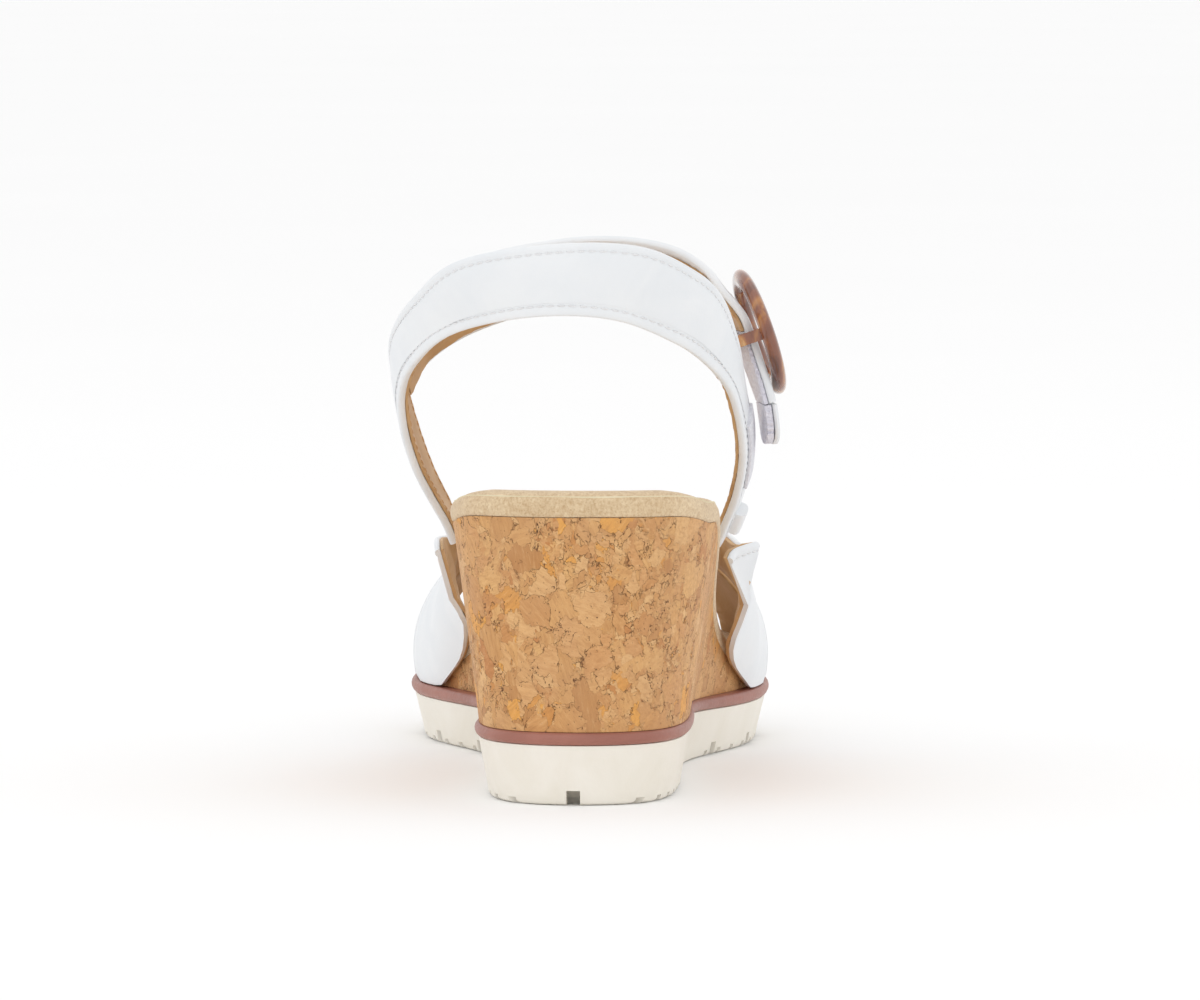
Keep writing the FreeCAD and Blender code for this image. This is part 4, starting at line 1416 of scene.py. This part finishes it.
@dataclass(frozen=True)
class ClosingRails:
    """Rails of the closing strap, and its straight run down through the ring."""

    rear: tuple = ((79, -50.6, 42.5), (84, -44.5, 57.5), (89, -30, 70), (92, -10, 76), (91.5, 6, 76.5),
                   (89, 19.6, 73), (85.5, 28.2, 66.5), (81, 33.3, 58.5))
    front: tuple = ((97, -49.6, 38), (102, -45, 49.5), (106, -34.5, 59), (108, -18, 66), (107, 0, 69.5),
                    (105, 14, 70.5), (101.5, 26, 69.5), (98.7, 33.3, 65.5))
    buckle: tuple = ((37.1, 55.6, 1.0, 1.6), (39.1, 49.8, 1.0, 2.0), (41.1, 44.0, 1.0, 2.0),
                     (42.9, 38.6, 1.0, 2.0), (44.5, 33.6, 1.0, 1.8))
    tab: tuple = ((44.7, 32.9, 1.0, 1.8), (45.2, 29.6, 1.0, 1.8), (45.6, 26.6, 0.92, 1.8),
                  (45.8, 24.1, 0.7, 1.8), (45.9, 22.4, 0.2, 1.8))
    station: float = 88.0
    width: float = 19.0

    def edge(self, run: tuple, side: int) -> list[np.ndarray]:
        """Edge points where the strap hangs down the outer side."""
        middle = LAST.foot(self.station, 0, 0)
        return [np.array([offset, middle[1], middle[2] + height])
                + np.array([-lean, self.width / 2, 0]) * (side * share)
                for offset, height, share, lean in run]


@dataclass
class ClosingStrap:
    """Strap over the instep with its hook-and-loop end, and the ring it runs through."""

    palette: Palette
    rails: ClosingRails = ClosingRails()

    def __post_init__(self) -> None:
        """Sets the strap's and the tab's surfaces, and where each begins to turn."""
        rails = self.rails
        rear = [LAST.foot(*p) for p in rails.rear] + rails.edge(rails.buckle, -1)
        front = [LAST.foot(*p) for p in rails.front] + rails.edge(rails.buckle, 1)
        self.strap = Strip(ribbon(rear, front), columns=150, unevenness=0.1)
        self.tab = Strip(ribbon(rails.edge(rails.tab, -1), rails.edge(rails.tab, 1)), columns=40,
                         unevenness=0.05)
        self.root = [Vector(p * MM) for p in (self.strap.surface(0.0, 0.5), self.strap.surface(0.1, 0.5))]
        self.fold = [Vector(p * MM) for p in (self.tab.surface(0.0, 0.5), self.tab.surface(0.45, 0.5))]

    def build(self) -> None:
        """Builds the strap, the tab and their seams, and finishes the ring."""
        pal = self.palette
        section = Section(thick=1.85, rim=0.2, rear_seam=2.2, front_seam=2.2, steps=5)
        pieces = [dress(self.strap.loft("closing_strap_leather", section.marks()), pal.leather, "",
                        ["instep_strap_outer", "instep_strap_padding"])]
        lined = Strip(self.strap.surface, 0.0, 0.72, 120, 0.1)
        pieces.append(dress(lined.loft("closing_strap_tan_lining", slab(-1.88, -2.78, 2.2, 0.6, 6)),
                            pal.lining, "", ["instep_strap_lining"]))
        taped = Strip(self.strap.surface, 0.724, 1.0, 70, 0.35)
        pieces.append(dress(taped.loft("closing_strap_loops", slab(-1.88, -2.9, 0.3, 0.5, 10)),
                            pal.loops, "", ["instep_loop_tape"]))
        pieces.append(Seam(Edge.REAR, 2.2).sew("closing_rear_seam", self.strap, pal.white_thread, ""))
        pieces.append(Seam(Edge.FRONT, 2.2).sew("closing_front_seam", self.strap, pal.white_thread, ""))
        lining_seam = Seam(Edge.REAR, 1.7, -2.82, 0.0, 0.7)
        pieces.append(lining_seam.sew("closing_lining_seam", self.strap, pal.tan_thread, ""))
        for piece in pieces:
            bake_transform(piece)
        tab_section = Section(thick=1.2, rim=0.15, rear_seam=1.8, front_seam=1.8, steps=5)
        tabs = [dress(self.tab.loft("closing_tab_leather", tab_section.marks()), pal.leather, "",
                      ["closing_tab_outer"])]
        taped = Strip(self.tab.surface, 0.0, 0.96, 40, 0.4)
        tabs.append(dress(taped.loft("closing_tab_loops", slab(-1.2, -3.0, 0.6, 0.5, 10)), pal.loops, "",
                          ["closing_tab_loop"]))
        for piece in tabs:
            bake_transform(piece)
        paint_node("ring_buckle", pal.shell)


# ---- stage ------------------------------------------------------------------------------------------
@dataclass(frozen=True)
class Studio:
    """White floor, soft light and the camera."""

    azimuth: float = 3.813
    elevation: float = 3.938
    distance: float = 2.2897
    lens: float = 267.0
    aim: tuple[float, float, float] = (-0.00124, 0.0, 0.06697)
    world: float = 1.0

    def build(self) -> None:
        """Sets the floor, the lights and the camera."""
        deselect()
        bpy.ops.mesh.primitive_plane_add(size=60.0, location=(0.0, 0.0, 0.0))
        floor = bpy.context.object
        floor.name = "floor"
        f = Finish("white floor", specular=0.1)
        tint = f.t.noise(f.where, 2.0).outputs[0]
        colour = f.t.mix(tint, tone(250, 250, 250), tone(252, 252, 252))
        f.show(colour, f.t.range(tint, 0, 1, 0.9, 0.95), tint, 0.0, 0.001)
        floor.data.materials.append(f.material)
        world = bpy.data.worlds.new("studio")
        world.use_nodes = True
        world.node_tree.nodes["Background"].inputs[0].default_value = (1.0, 1.0, 1.0, 1.0)
        world.node_tree.nodes["Background"].inputs[1].default_value = self.world
        bpy.context.scene.world = world
        bpy.context.scene.view_settings.view_transform = "Standard"
        self.light("key", (-0.7, -1.3, 1.9), 1.4, 2.2)
        self.light("top", (0.1, 0.2, 2.2), 1.2, 2.0)
        self.camera()

    def light(self, name: str, place: tuple[float, float, float], size: float, power: float) -> None:
        """Adds a soft box aimed at the sandal."""
        bpy.ops.object.light_add(type="AREA", location=place)
        lamp = bpy.context.object
        lamp.name = name
        lamp.data.size, lamp.data.energy = size, power
        lamp.rotation_euler = (Vector(self.aim) - Vector(place)).to_track_quat("-Z", "Y").to_euler()

    def camera(self) -> None:
        """Adds the camera, low behind the heel."""
        a, e = math.radians(self.azimuth), math.radians(self.elevation)
        back = Vector((math.sin(a) * math.cos(e), -math.cos(a) * math.cos(e), math.sin(e)))
        bpy.ops.object.camera_add(location=Vector(self.aim) + back * self.distance)
        camera = bpy.context.object
        camera.rotation_euler = (-back).to_track_quat("-Z", "Y").to_euler()
        camera.data.lens, camera.data.sensor_width = self.lens, 36.0
        camera.data.clip_start, camera.data.clip_end = 0.01, 100.0
        bpy.context.scene.camera = camera


def main() -> None:
    """Builds the sandal piece by piece, then the stage."""
    logging.basicConfig(level=logging.INFO, format="%(name)s %(message)s")
    deselect()
    palette = Palette.mix()
    sole = Sole(palette)
    sole.build()
    Vamp(palette, sole.walls).build()
    AnkleStrap(palette).build()
    ClosingStrap(palette).build()
    Studio().build()


if __name__ == "__main__":
    main()
